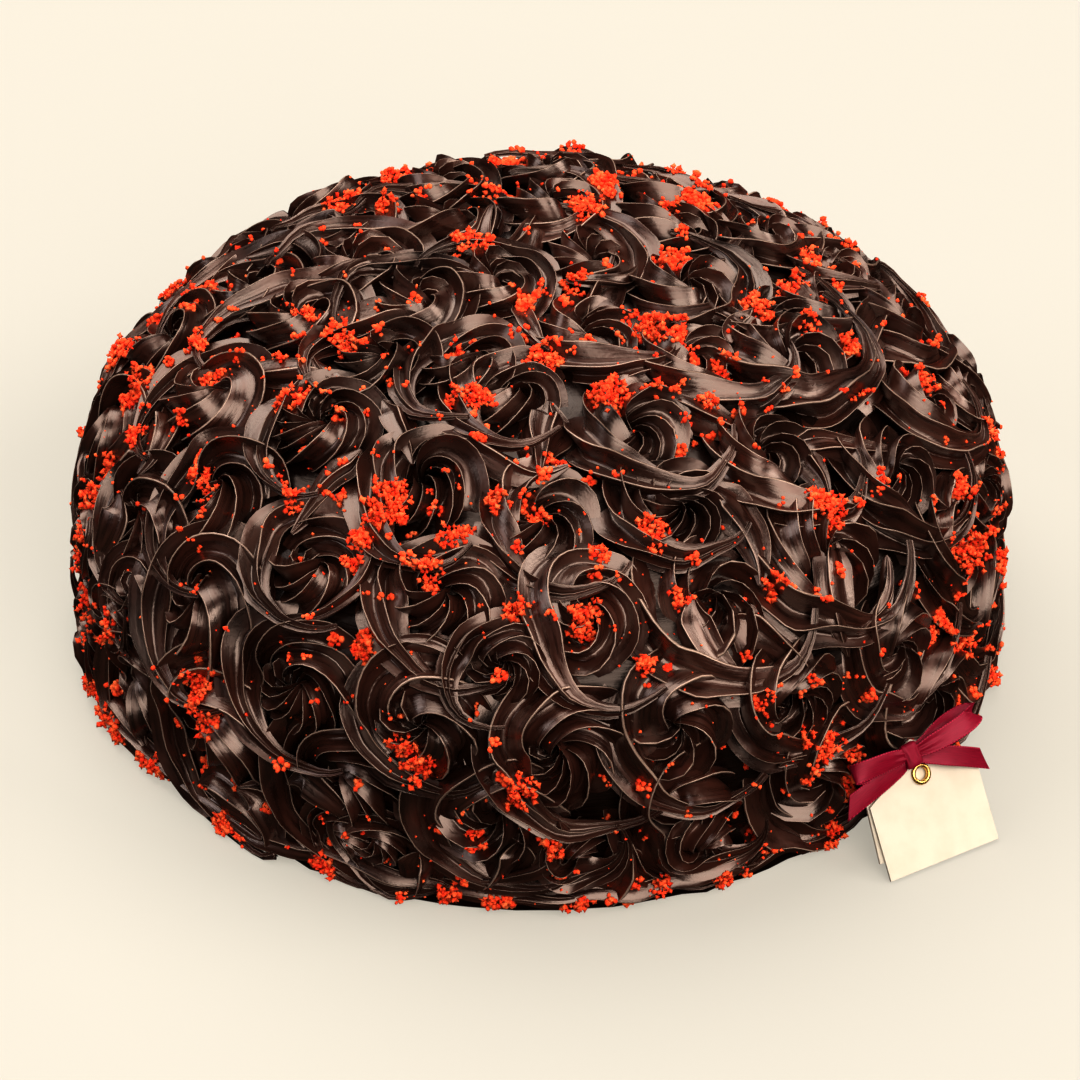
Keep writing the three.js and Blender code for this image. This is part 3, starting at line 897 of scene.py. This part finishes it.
def grainTemplate(detail):
    # detail 0 is a plain eight-sided grain, 1 has twenty sides, 2 is knobbly with six blunt tips
    shape = bmesh.new()
    if detail == 1:
        bmesh.ops.create_icosphere(shape, subdivisions=1, radius=1)
    else:
        tips = [(1, 0, 0), (0, 1, 0), (-1, 0, 0), (0, -1, 0), (0, 0, 1), (0, 0, -1)]
        corners = [shape.verts.new(tip) for tip in tips]
        for a, b in ((0, 1), (1, 2), (2, 3), (3, 0)):
            shape.faces.new((corners[a], corners[b], corners[4]))
            shape.faces.new((corners[b], corners[a], corners[5]))
    if detail == 2:
        bmesh.ops.subdivide_edges(shape, edges=shape.edges[:], cuts=1, use_grid_fill=True)
    shape.verts.index_update()
    points = np.array([v.co[:] for v in shape.verts])
    faces = np.array([[v.index for v in f.verts] for f in shape.faces])
    shape.free()
    if detail == 2:
        middles = np.linalg.norm(points, axis=1) < 0.9
        points[middles] = unit(points[middles]) * grainLook["waist"]
        points[~middles] *= grainLook["tips"]
    return points, faces


def makeGrains(name, places, sizes, detail, seed):
    rng = np.random.RandomState(seed)
    template, faces = grainTemplate(detail)
    count = len(places)
    spin = rng.normal(size=(count, 4))
    spin /= np.linalg.norm(spin, axis=1, keepdims=True)
    w, x, y, z = spin.T
    turnMatrix = np.stack([
        1 - 2 * (y * y + z * z), 2 * (x * y - z * w), 2 * (x * z + y * w),
        2 * (x * y + z * w), 1 - 2 * (x * x + z * z), 2 * (y * z - x * w),
        2 * (x * z - y * w), 2 * (y * z + x * w), 1 - 2 * (x * x + y * y)], 1).reshape(-1, 3, 3)
    uneven = grainLook["uneven"]
    knobbly = 1 + rng.uniform(-uneven, uneven, (count, len(template)))
    stretch = rng.uniform(*grainLook["stretch"], (count, 1, 3))
    grain = template[None] * knobbly[..., None] * stretch
    grain = np.einsum("nij,nvj->nvi", turnMatrix, grain) * sizes[:, None, None]
    points = (places[:, None] + grain).reshape(-1, 3)
    points[:, 2] = np.maximum(points[:, 2], 0)
    allFaces = (faces[None] + (np.arange(count) * len(template))[:, None, None]).reshape(-1, 3)
    piece = makePiece(name, points, [allFaces], redCrumb)
    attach(piece, "root")
    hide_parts("frosted_cake")
    print(name, "made,", countTriangles(piece), "triangles")


def growClump(radius, rng):
    look = clumpLook
    wanted = int(look["fill"] * (radius / look["pitch"]) ** 2) + 3
    lobes = rng.uniform(*look["lobes"], look["lobeCount"])
    spots = [np.zeros(2)]
    for _ in range(wanted * 12):
        if len(spots) >= wanted:
            break
        parent = spots[rng.randint(len(spots))]
        angle = rng.uniform(0, 2 * math.pi)
        step = look["pitch"] * np.array([math.cos(angle), math.sin(angle)])
        spot = parent + step * rng.uniform(*look["pitchScatter"])
        lobe = lobes[int((math.atan2(spot[1], spot[0]) / (2 * math.pi) + 0.5) * (len(lobes) - 0.01))]
        if np.hypot(*spot) > radius * lobe:
            continue
        if min(np.hypot(*(spot - other)) for other in spots) < look["pitch"] * look["closest"]:
            continue
        spots.append(spot)
    levels = [0.0] * len(spots)
    for spot in list(spots):
        if np.hypot(*spot) < radius * look["middle"] and rng.uniform() < look["second"]:
            spots.append(spot + rng.uniform(-look["secondScatter"], look["secondScatter"], 2))
            levels.append(1.0)
    return np.array(spots), np.array(levels)


cream = creamTree()
print("surface for the crumbs ready")


def unseenClumps():
    look = clumpLook
    low, high = look["unseenRadius"]
    rng = np.random.RandomState(85)
    places = []
    for i in range(look["unseenLarge"]):
        turn = look["largeStart"] + look["largeSpan"] * ((i * 0.618) % 1) + scatter(21, i, 4)
        share = (i * 0.382 + draw(22, i) * 0.1) % 1
        arc = look["largeLow"] + (topArc - look["largeShort"]) * share
        places.append((turn, arc, high * 0.96 ** i))
    footArc, crownArc = look["unseenArc"]
    while len(places) < look["unseenLarge"] + look["unseen"]:
        turn = rng.uniform(*look["unseenTurn"])
        arc = rng.uniform(footArc, topArc - crownArc)
        reach = np.interp(arc, outlineArc, outline[:, 0])
        away = [math.hypot(math.radians(turn - place[0]) * reach, arc - place[1]) for place in places]
        if min(away) > look["unseenApart"] and rng.uniform() < reach / outline[:, 0].max():
            places.append((turn, arc, low + (high - low) * rng.uniform() ** 1.7))
    return places


def scatteredClumps():
    rng = np.random.RandomState(76)
    turn, arc = randomSpots(clumpLook["scattered"], rng)
    low, high = clumpLook["scatteredRadius"]
    return list(zip(turn, arc, low + (high - low) * rng.uniform(size=len(turn)) ** 1.3))


def crumbClumps(places, seed):
    rng = np.random.RandomState(seed)
    look = clumpLook
    allPlaces, allSizes = [], []
    for turn, arc, radius in places:
        spots, levels = growClump(radius, rng)
        east, up = spots[:, 0], spots[:, 1]
        up = np.maximum(up, 1 - arc)    # nothing goes under the foot
        lifts = surfaceLift(cream, np.full(len(east), turn), np.full(len(east), arc), east, up)
        lifts = np.maximum(lifts, np.median(lifts) - look["deepest"])
        sizes = rng.uniform(*look["nodule"], len(east))
        lifts = lifts + sizes * look["stand"] + levels * look["layer"]
        point, _ = onCake(turn, arc, east, up, lifts)
        allPlaces.append(point)
        allSizes.append(sizes)
    return np.concatenate(allPlaces), np.concatenate(allSizes)


def randomSpots(count, rng):
    # evenly over the cake's surface, or near a clump
    levels = np.linspace(0, topArc, 400)
    weight = np.interp(levels, outlineArc, outline[:, 0])
    arc = rng.choice(levels, count, p=weight / weight.sum())
    turn = rng.uniform(-180, 180, count)
    clumps = np.array(list(clumpLook["seen"]) + unseenClumps())
    picked = clumps[rng.randint(len(clumps), size=count)]
    near = rng.uniform(size=count) < bitLook["nearClumps"]
    radius = np.maximum(np.interp(picked[:, 1], outlineArc, outline[:, 0]), 20)
    spread = picked[:, 2] + bitLook["spread"]
    nearTurn = picked[:, 0] + np.degrees(rng.normal(size=count) * spread / radius)
    nearArc = picked[:, 1] + rng.normal(size=count) * spread
    turn = np.where(near, nearTurn, turn)
    arc = np.clip(np.where(near, nearArc, arc), 2, topArc - 2)
    return turn, arc


def crumbBits():
    rng = np.random.RandomState(78)
    turn, arc = randomSpots(bitLook["small"], rng)
    turns, arcs, easts, ups, sizes = [], [], [], [], []
    for t, a in zip(turn, arc):
        spot = np.zeros(2)
        for _ in range(rng.randint(*bitLook["smallCount"])):
            turns.append(t)
            arcs.append(a)
            easts.append(spot[0])
            ups.append(spot[1])
            sizes.append(rng.uniform(*bitLook["smallGrain"]))
            angle = rng.uniform(0, 2 * math.pi)
            spot = spot + bitLook["smallPitch"] * np.array([math.cos(angle), math.sin(angle)])
    return setOnCream(turns, arcs, easts, ups, np.array(sizes))


def crumbDust():
    rng = np.random.RandomState(81)
    turn, arc = randomSpots(bitLook["single"], rng)
    low, high = bitLook["grain"]
    sizes = low + (high - low) * rng.uniform(size=len(turn)) ** 1.6
    return setOnCream(turn, arc, np.zeros(len(turn)), np.zeros(len(turn)), sizes)


def setOnCream(turns, arcs, easts, ups, sizes):
    lifts = surfaceLift(cream, turns, arcs, easts, ups)
    point, _ = onCake(turns, arcs, easts, ups, lifts + sizes * bitLook["stand"])
    return point, sizes


def grown(clumps):
    return [(turn, arc, radius * clumpLook["grow"]) for turn, arc, radius in clumps]


makeGrains("crumb_clumps", *crumbClumps(grown(clumpLook["seen"]), 77), 2, 79)
makeGrains("crumb_clusters", *crumbClumps(grown(unseenClumps()) + scatteredClumps(), 83), 1, 84)
makeGrains("crumb_bits", *crumbBits(), 1, 80)
makeGrains("crumb_dust", *crumbDust(), 0, 82)

# the tag is two cards, an eyelet and a ribbon bow
tagLook = {
    "width": 34.4,
    "holeUp": 24.2,
    "lean": 37,          # degrees back from upright
    "swing": 28.1,       # degrees round from facing the front, toward the right
    "foot": (92.6, -118.8, 0.0),
    "paper": (0.623, 0.556, 0.467),
    "paperShade": (0.587, 0.521, 0.432),
    "cloudScale": 160,
    "fibreScale": 2600,
    "fibreDepth": 0.00003,     # metres
    "roughness": 0.72,
    "specular": 0.3,
}


def tagToRow(points):
    lift = math.radians(90 - tagLook["lean"])
    swing = math.radians(tagLook["swing"])
    tip = np.array([[1, 0, 0], [0, math.cos(lift), -math.sin(lift)], [0, math.sin(lift), math.cos(lift)]])
    cosine, sine = math.cos(swing), math.sin(swing)
    turn = np.array([[cosine, -sine, 0], [sine, cosine, 0], [0, 0, 1]])
    return np.asarray(points, float) @ (turn @ tip).T + np.array(tagLook["foot"])


def cardMaterial():
    look = tagLook
    material, shader = newMaterial("card")
    place = objectPlace(material)
    cloud = addNoise(material, place, look["cloudScale"], 5)
    fibre = addNoise(material, place, look["fibreScale"], 3)
    setInputs(material, shader, {
        "Base Color": addRamp(material, cloud, [(0.35, look["paperShade"]), (0.6, look["paper"])]),
        "Normal": addBump(material, fibre, 0.6, look["fibreDepth"]),
        "Roughness": look["roughness"],
        "Specular IOR Level": look["specular"]})
    return material


paper = cardMaterial()
for name in ("tag_front_card", "tag_back_card"):
    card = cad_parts[name]
    card.data.materials.clear()
    card.data.materials.append(paper)
print("cards finished")

eyeletLook = {
    "gold": (0.83, 0.58, 0.24),
    "goldShade": (0.62, 0.38, 0.11),
    "roughness": (0.16, 0.36),
    "scuffScale": 1500,
    "steps": 56,
    # across the ring's rim: distance from its middle, and height over the card
    "profile": [(1.75, -0.05), (1.72, 0.5), (1.78, 1.05), (1.95, 1.38), (2.3, 1.5), (2.65, 1.4), (2.9, 1.15),
                (2.95, 1.0), (2.6, 0.98), (2.1, 0.98), (2.05, 0.5), (2.02, -0.05)],
}


def eyeletMaterial():
    look = eyeletLook
    material, shader = newMaterial("eyeletGold")
    scuff = addNoise(material, objectPlace(material), look["scuffScale"], 3)
    setInputs(material, shader, {
        "Base Color": addRamp(material, scuff, [(0.3, look["goldShade"]), (0.7, look["gold"])]),
        "Roughness": addRange(material, scuff, (0, 1), look["roughness"]),
        "Metallic": 1.0})
    return material


def ringOfProfile(profile, steps):
    angle = np.arange(steps) * 2 * math.pi / steps
    profile = np.array(profile)
    points = np.stack([
        profile[None, :, 0] * np.cos(angle)[:, None],
        profile[None, :, 0] * np.sin(angle)[:, None],
        np.broadcast_to(profile[None, :, 1], (steps, len(profile)))], axis=-1).reshape(-1, 3)
    rows = len(profile)
    i, j = np.meshgrid(np.arange(steps), np.arange(rows), indexing="ij")
    i, j = i.ravel(), j.ravel()
    a, b = (i + 1) % steps, (j + 1) % rows
    quads = np.stack([i * rows + j, i * rows + b, a * rows + b, a * rows + j], 1)
    return points, quads


ringPoints, ringQuads = ringOfProfile(eyeletLook["profile"], eyeletLook["steps"])
ringPoints = ringPoints + np.array([tagLook["width"] / 2, tagLook["holeUp"], 0])
eyelet = makePiece("tag_eyelet_ring", tagToRow(ringPoints), [ringQuads], eyeletMaterial())
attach(eyelet, "root")
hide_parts("tag_eyelet")
print("eyelet made")

bowLook = {
    "colour": (0.185, 0.0055, 0.023),
    "lightThread": (0.28, 0.009, 0.036),
    "stitchColour": (0.55, 0.04, 0.10),
    "stitchEdge": (0.42, 0.47),      # shares of the width out from its middle line
    "stitchGap": (0.1, 0.6),
    "ribs": 26.0,                    # radians a millimetre along the ribbon
    "stitches": 7.5,
    "ribDepth": 0.25,
    "bumpDepth": 0.00006,            # metres
    "threadStretch": (0.35, 22),
    "roughness": 0.31,
    "anisotropy": 0.4,
    "specular": 0.5,
    "shine": (1.0, 0.42, 0.5),
    "width": 5.4,
    "thickness": 0.28,
    "perSpan": 9,          # stations between two control points
    "across": 12,
    "pinch": 0.42,         # how much narrower it is where it goes into the knot
    "pinchReach": 0.13,
    "tailCut": -4.5,       # how far the far end's upper corner lies past its lower one
    "cup": 0.35,
    "gather": 0.9,         # how deep the folds are beside the knot
    "gatherWaves": 15,
    # each strip: control points (x, y, z, how far its width leans from the card's up, tilt out of the card)
    "leftLoop": [
        (14.2, 30.4, 2.6, 0, 4), (11, 30.9, 3.6, -3, 8), (6, 31.2, 4.6, -5, 8), (0.5, 31.2, 4.7, -5, 2),
        (-2.4, 31.0, 3.9, -6, -14), (-3.1, 30.7, 2.7, -8, -30), (-1.6, 30.2, 1.9, -10, -22),
        (3, 29.6, 1.7, -12, -8), (9, 29.8, 1.6, -8, 0), (14.2, 30.3, 1.8, 0, 0)],
    "rightLoop": [
        (15.8, 30.4, 2.6, 10, -4), (19.5, 31.2, 4.2, 11, -6), (25, 32.3, 5.6, 12, -8),
        (31, 33.6, 5.9, 13, -14), (34.5, 34.7, 5.2, 13, -30), (35.2, 35.6, 3.9, 12, -46),
        (33.3, 35.9, 2.8, 11, -44), (28, 34.6, 2.1, 11, -28), (21.5, 32.2, 1.9, 10, -12),
        (15.8, 30.6, 1.9, 8, 0)],
    "leftTail": [
        (14, 29.9, 1.9, 26, 0), (10.5, 28.2, 1.8, 25, 4), (5, 26.3, 2.2, 23, 5), (-1, 24.4, 1.9, 25, 0),
        (-6.4, 22.6, 1.2, 28, -5)],
    "rightTail": [
        (16, 30.0, 1.9, -20, 0), (20.5, 28.7, 2.0, -19, -4), (26, 26.4, 2.5, -19, -3),
        (31, 24.4, 2.3, -21, 4), (36.5, 22.0, 1.5, -24, 7)],
    "knot": {"place": (15.0, 30.2, 2.3), "half": (2.7, 3.4, 1.75), "turn": 8, "rows": 26, "columns": 40,
             "crease": 0.05, "waist": 0.14, "corners": 0.75},
}


def satinMaterial():
    look = bowLook
    material, shader = newMaterial("ribbonSatin")
    flow = flowMap(material)
    parts = addNode(material, "ShaderNodeSeparateXYZ", {"Vector": flow}).outputs
    rib = addMath(material, "SINE", addMath(material, "MULTIPLY", parts["X"], look["ribs"]))
    # the woven edge is a line of small stitches close to each side
    distance = addMath(material, "ABSOLUTE", addMath(material, "SUBTRACT", parts["Y"], 0.5))
    edge = addRange(material, distance, look["stitchEdge"])
    stitch = addMath(material, "SINE", addMath(material, "MULTIPLY", parts["X"], look["stitches"]))
    seam = addMath(material, "MULTIPLY", edge, addRange(material, stitch, look["stitchGap"]))
    thread = addNoise(material, addStretch(material, flow, look["threadStretch"]), 1)
    base = addRamp(material, thread, [(0.3, look["colour"]), (0.75, look["lightThread"])])
    stitched = {"Fac": seam, "Color1": base, "Color2": (*look["stitchColour"], 1)}
    height = addMath(material, "ADD", addMath(material, "MULTIPLY", rib, look["ribDepth"]), seam)
    setInputs(material, shader, {
        "Base Color": addNode(material, "ShaderNodeMixRGB", stitched).outputs["Color"],
        "Normal": addBump(material, height, 0.7, look["bumpDepth"]),
        "Roughness": look["roughness"],
        "Anisotropic": look["anisotropy"],
        "Specular IOR Level": look["specular"],
        "Specular Tint": (*look["shine"], 1)})
    return material


satin = satinMaterial()


def curveThrough(controls, perSpan):
    controls = np.array(controls, float)
    padded = np.concatenate([controls[:1] * 2 - controls[1:2], controls, controls[-1:] * 2 - controls[-2:-1]])
    rows = []
    for k in range(len(controls) - 1):
        a, b, c, d = padded[k:k + 4]
        t = (np.arange(perSpan) / perSpan)[:, None]
        rows.append(0.5 * (2 * b + (c - a) * t + (2 * a - 5 * b + 4 * c - d) * t ** 2
                           + (3 * b - 3 * c + d - a) * t ** 3))
    rows.append(controls[-1:])
    return np.concatenate(rows)


def ribbonStrip(name, controls, pinch, slant=0.0):
    # pinch narrows the strip where it goes into the knot; slant cuts its far end at an angle
    look = bowLook
    line = curveThrough(controls, look["perSpan"])
    centre = line[:, :3]
    lean = np.radians(line[:, 3])
    tilt = np.radians(line[:, 4])
    upward = np.stack([-np.sin(lean), np.cos(lean), np.zeros(len(line))], 1)
    tangent = unit(np.gradient(centre, axis=0))
    upward = unit(upward * np.cos(tilt)[:, None] + np.array([0, 0, 1]) * np.sin(tilt)[:, None])
    upward = unit(upward - tangent * (upward * tangent).sum(1, keepdims=True))
    face = np.cross(tangent, upward)
    stations, columns = len(line), look["across"] + 1
    share = np.linspace(0, 1, stations)
    width = np.full(stations, look["width"])
    for near in pinch:
        width = width * (1 - look["pinch"] * np.exp(-((share - near) / look["pinchReach"]) ** 2))
    across = np.linspace(-0.5, 0.5, columns)
    steps = np.append(0, np.cumsum(np.linalg.norm(np.diff(centre, axis=0), axis=1)))
    fold = 1 - width / look["width"]
    cup = look["cup"] * (across[None] ** 2 * 4 - 1) * 0.5
    cup = cup + fold[:, None] * look["gather"] * np.cos(across[None] * look["gatherWaves"])
    middle = centre[:, None] + (across[None] * width[:, None])[..., None] * upward[:, None]
    middle = middle + cup[..., None] * face[:, None]
    cut = slant * across[None, :, None] * share[:, None, None] ** 6
    middle = middle + tangent[:, None] * cut
    half = look["thickness"] / 2
    points = np.stack([middle + face[:, None] * half, middle - face[:, None] * half]).reshape(-1, 3)
    grid = np.arange(stations * columns).reshape(stations, columns)
    back = grid + stations * columns

    def quadsOf(a, b, c, d):
        return np.stack([a.ravel(), b.ravel(), c.ravel(), d.ravel()], 1)

    front = quadsOf(grid[:-1, :-1], grid[1:, :-1], grid[1:, 1:], grid[:-1, 1:])
    rear = quadsOf(back[:-1, :-1], back[:-1, 1:], back[1:, 1:], back[1:, :-1])
    low = quadsOf(grid[:-1, 0], back[:-1, 0], back[1:, 0], grid[1:, 0])
    high = quadsOf(grid[:-1, -1], grid[1:, -1], back[1:, -1], back[:-1, -1])
    start = quadsOf(grid[0, :-1], grid[0, 1:], back[0, 1:], back[0, :-1])
    end = quadsOf(grid[-1, :-1], back[-1, :-1], back[-1, 1:], grid[-1, 1:])
    quads = np.concatenate([front, rear, low, high, start, end])
    corners = quads.ravel() % (stations * columns)
    flow = np.stack([steps[corners // columns], (corners % columns) / look["across"]], 1)
    piece = makePiece(name, tagToRow(points), [quads], satin, flow)
    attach(piece, "root")
    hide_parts("ribbon_bow")


def knotPiece():
    look = bowLook["knot"]
    rows, columns = look["rows"], look["columns"]
    v = np.linspace(-1, 1, rows)
    u = np.arange(columns) * 2 * math.pi / columns
    halfX, halfY, halfZ = look["half"]
    rim = (1 - np.abs(v) ** 4) ** 0.25
    fine = np.cos(9 * u + 1.0)[None] * (1 - v ** 2)[:, None]
    crease = 1 + look["crease"] * np.sin(3 * u)[None] + look["crease"] * fine
    waist = 1 - look["waist"] + look["waist"] * v ** 2
    superCos = np.sign(np.cos(u)) * np.abs(np.cos(u)) ** look["corners"]
    superSin = np.sign(np.sin(u)) * np.abs(np.sin(u)) ** look["corners"]
    x = halfX * (waist * (0.55 + 0.45 * rim))[:, None] * superCos[None] * crease
    z = halfZ * rim[:, None] * superSin[None] * crease
    y = np.broadcast_to((halfY * v)[:, None], x.shape)
    points = np.stack([x, y, z], axis=-1).reshape(-1, 3)
    turn = math.radians(look["turn"])
    spin = np.array([[math.cos(turn), -math.sin(turn), 0], [math.sin(turn), math.cos(turn), 0], [0, 0, 1]])
    points = points @ spin.T + np.array(look["place"])
    i, j, quads = ringFaces(rows, columns)
    quads = quads[:, [0, 3, 2, 1]]
    # its flow map stays inside the woven edges
    near, far = v[i] * halfY, v[i + 1] * halfY
    low, high = 0.12 + j * 0.019, 0.12 + (j + 1) * 0.019
    flow = np.stack([near, low, far, low, far, high, near, high], 1).reshape(-1, 2)
    piece = makePiece("ribbon_knot", tagToRow(points), [quads], satin, flow)
    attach(piece, "root")
    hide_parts("ribbon_bow")


ribbonStrip("ribbon_loop_left", bowLook["leftLoop"], (0, 1))
ribbonStrip("ribbon_loop_right", bowLook["rightLoop"], (0, 1))
ribbonStrip("ribbon_tail_left", bowLook["leftTail"], (0,), bowLook["tailCut"])
ribbonStrip("ribbon_tail_right", bowLook["rightTail"], (0,), bowLook["tailCut"])
knotPiece()
print("ribbon bow made")

studioLook = {
    "floor": (0.210, 0.202, 0.187),
    "floorRoughness": 0.9,
    "floorDrop": 0.0006,      # metres below the cake's foot
    "floorGlow": (0.503, 0.474, 0.414),    # keeps the floor pale and its shadows soft
    "bounce": (0.04, 0.033, 0.025),
    "floorSize": 40.0,        # metres
    "backdrop": (0.988, 0.927, 0.814),     # what shows past the floor's far edge from low down
    "gamma": 0.68,
    "sky": (1.0, 0.95, 0.87),
    "skyStrength": 0.012,
    # turn is where a light shines from, from the back towards the right, and height its angle up
    "lights": [
        {"turn": -25, "height": 58, "strength": 3.7, "width": 60, "colour": (1.0, 0.97, 0.93)},
        {"turn": 160, "height": 44, "strength": 3.9, "width": 58, "colour": (1.0, 0.96, 0.91)},
        {"turn": -100, "height": 34, "strength": 0.9, "width": 32, "colour": (0.90, 0.94, 1.0)},
        {"turn": 95, "height": 34, "strength": 1.8, "width": 32, "colour": (1.0, 0.96, 0.91)},
    ],
}


def forCamera(material, others, seen):
    # what the camera sees directly, and what all other light meets
    rays = addNode(material, "ShaderNodeLightPath").outputs["Is Camera Ray"]
    return addNode(material, "ShaderNodeMixShader", {0: rays, 1: others, 2: seen}).outputs["Shader"]


def studio():
    look = studioLook
    half = look["floorSize"] / 2
    mesh = bpy.data.meshes.new("floor")
    corners = [(-half, -half, 0), (half, -half, 0), (half, half, 0), (-half, half, 0)]
    mesh.from_pydata(corners, [], [(0, 1, 2, 3)])
    floor = bpy.data.objects.new("floor", mesh)
    floor.location.z = -look["floorDrop"]
    material, shader = newMaterial("floor")
    setInputs(material, shader, {
        "Base Color": (*look["floor"], 1),
        "Roughness": look["floorRoughness"],
        "Specular IOR Level": 0.0,
        "Emission Color": (*look["floorGlow"], 1),
        "Emission Strength": 1.0})
    # the floor throws back less light than it shows, as a table with a dark surround would
    dim = addNode(material, "ShaderNodeBsdfDiffuse", {"Color": (*look["bounce"], 1)}).outputs["BSDF"]
    output = next(n for n in material.node_tree.nodes if n.type == "OUTPUT_MATERIAL")
    link(material, forCamera(material, dim, shader.outputs["BSDF"]), output.inputs["Surface"])
    mesh.materials.append(material)
    bpy.context.scene.collection.objects.link(floor)
    world = bpy.data.worlds.new("sky")
    world.use_nodes = True
    nodes = world.node_tree.nodes
    background = nodes["Background"]
    setInputs(world, background, {"Color": (*look["sky"], 1), "Strength": look["skyStrength"]})
    background = background.outputs["Background"]
    backdrop = addNode(world, "ShaderNodeBackground", {"Color": (*look["backdrop"], 1)}).outputs["Background"]
    link(world, forCamera(world, background, backdrop), nodes["World Output"].inputs["Surface"])
    bpy.context.scene.world = world
    for i, entry in enumerate(look["lights"]):
        data = bpy.data.lights.new(f"light{i}", "SUN")
        data.energy = entry["strength"]
        data.angle = math.radians(entry["width"])
        data.color = entry["colour"]
        light = bpy.data.objects.new(f"light{i}", data)
        light.rotation_euler = (math.radians(entry["height"] - 90), 0, math.radians(-entry["turn"]))
        bpy.context.scene.collection.objects.link(light)
    bpy.context.scene.view_settings.view_transform = "Standard"
    bpy.context.scene.view_settings.look = "None"
    bpy.context.scene.view_settings.gamma = look["gamma"]


studio()
print("floor and lights placed")

bpy.context.view_layer.update()
print("sizes written")
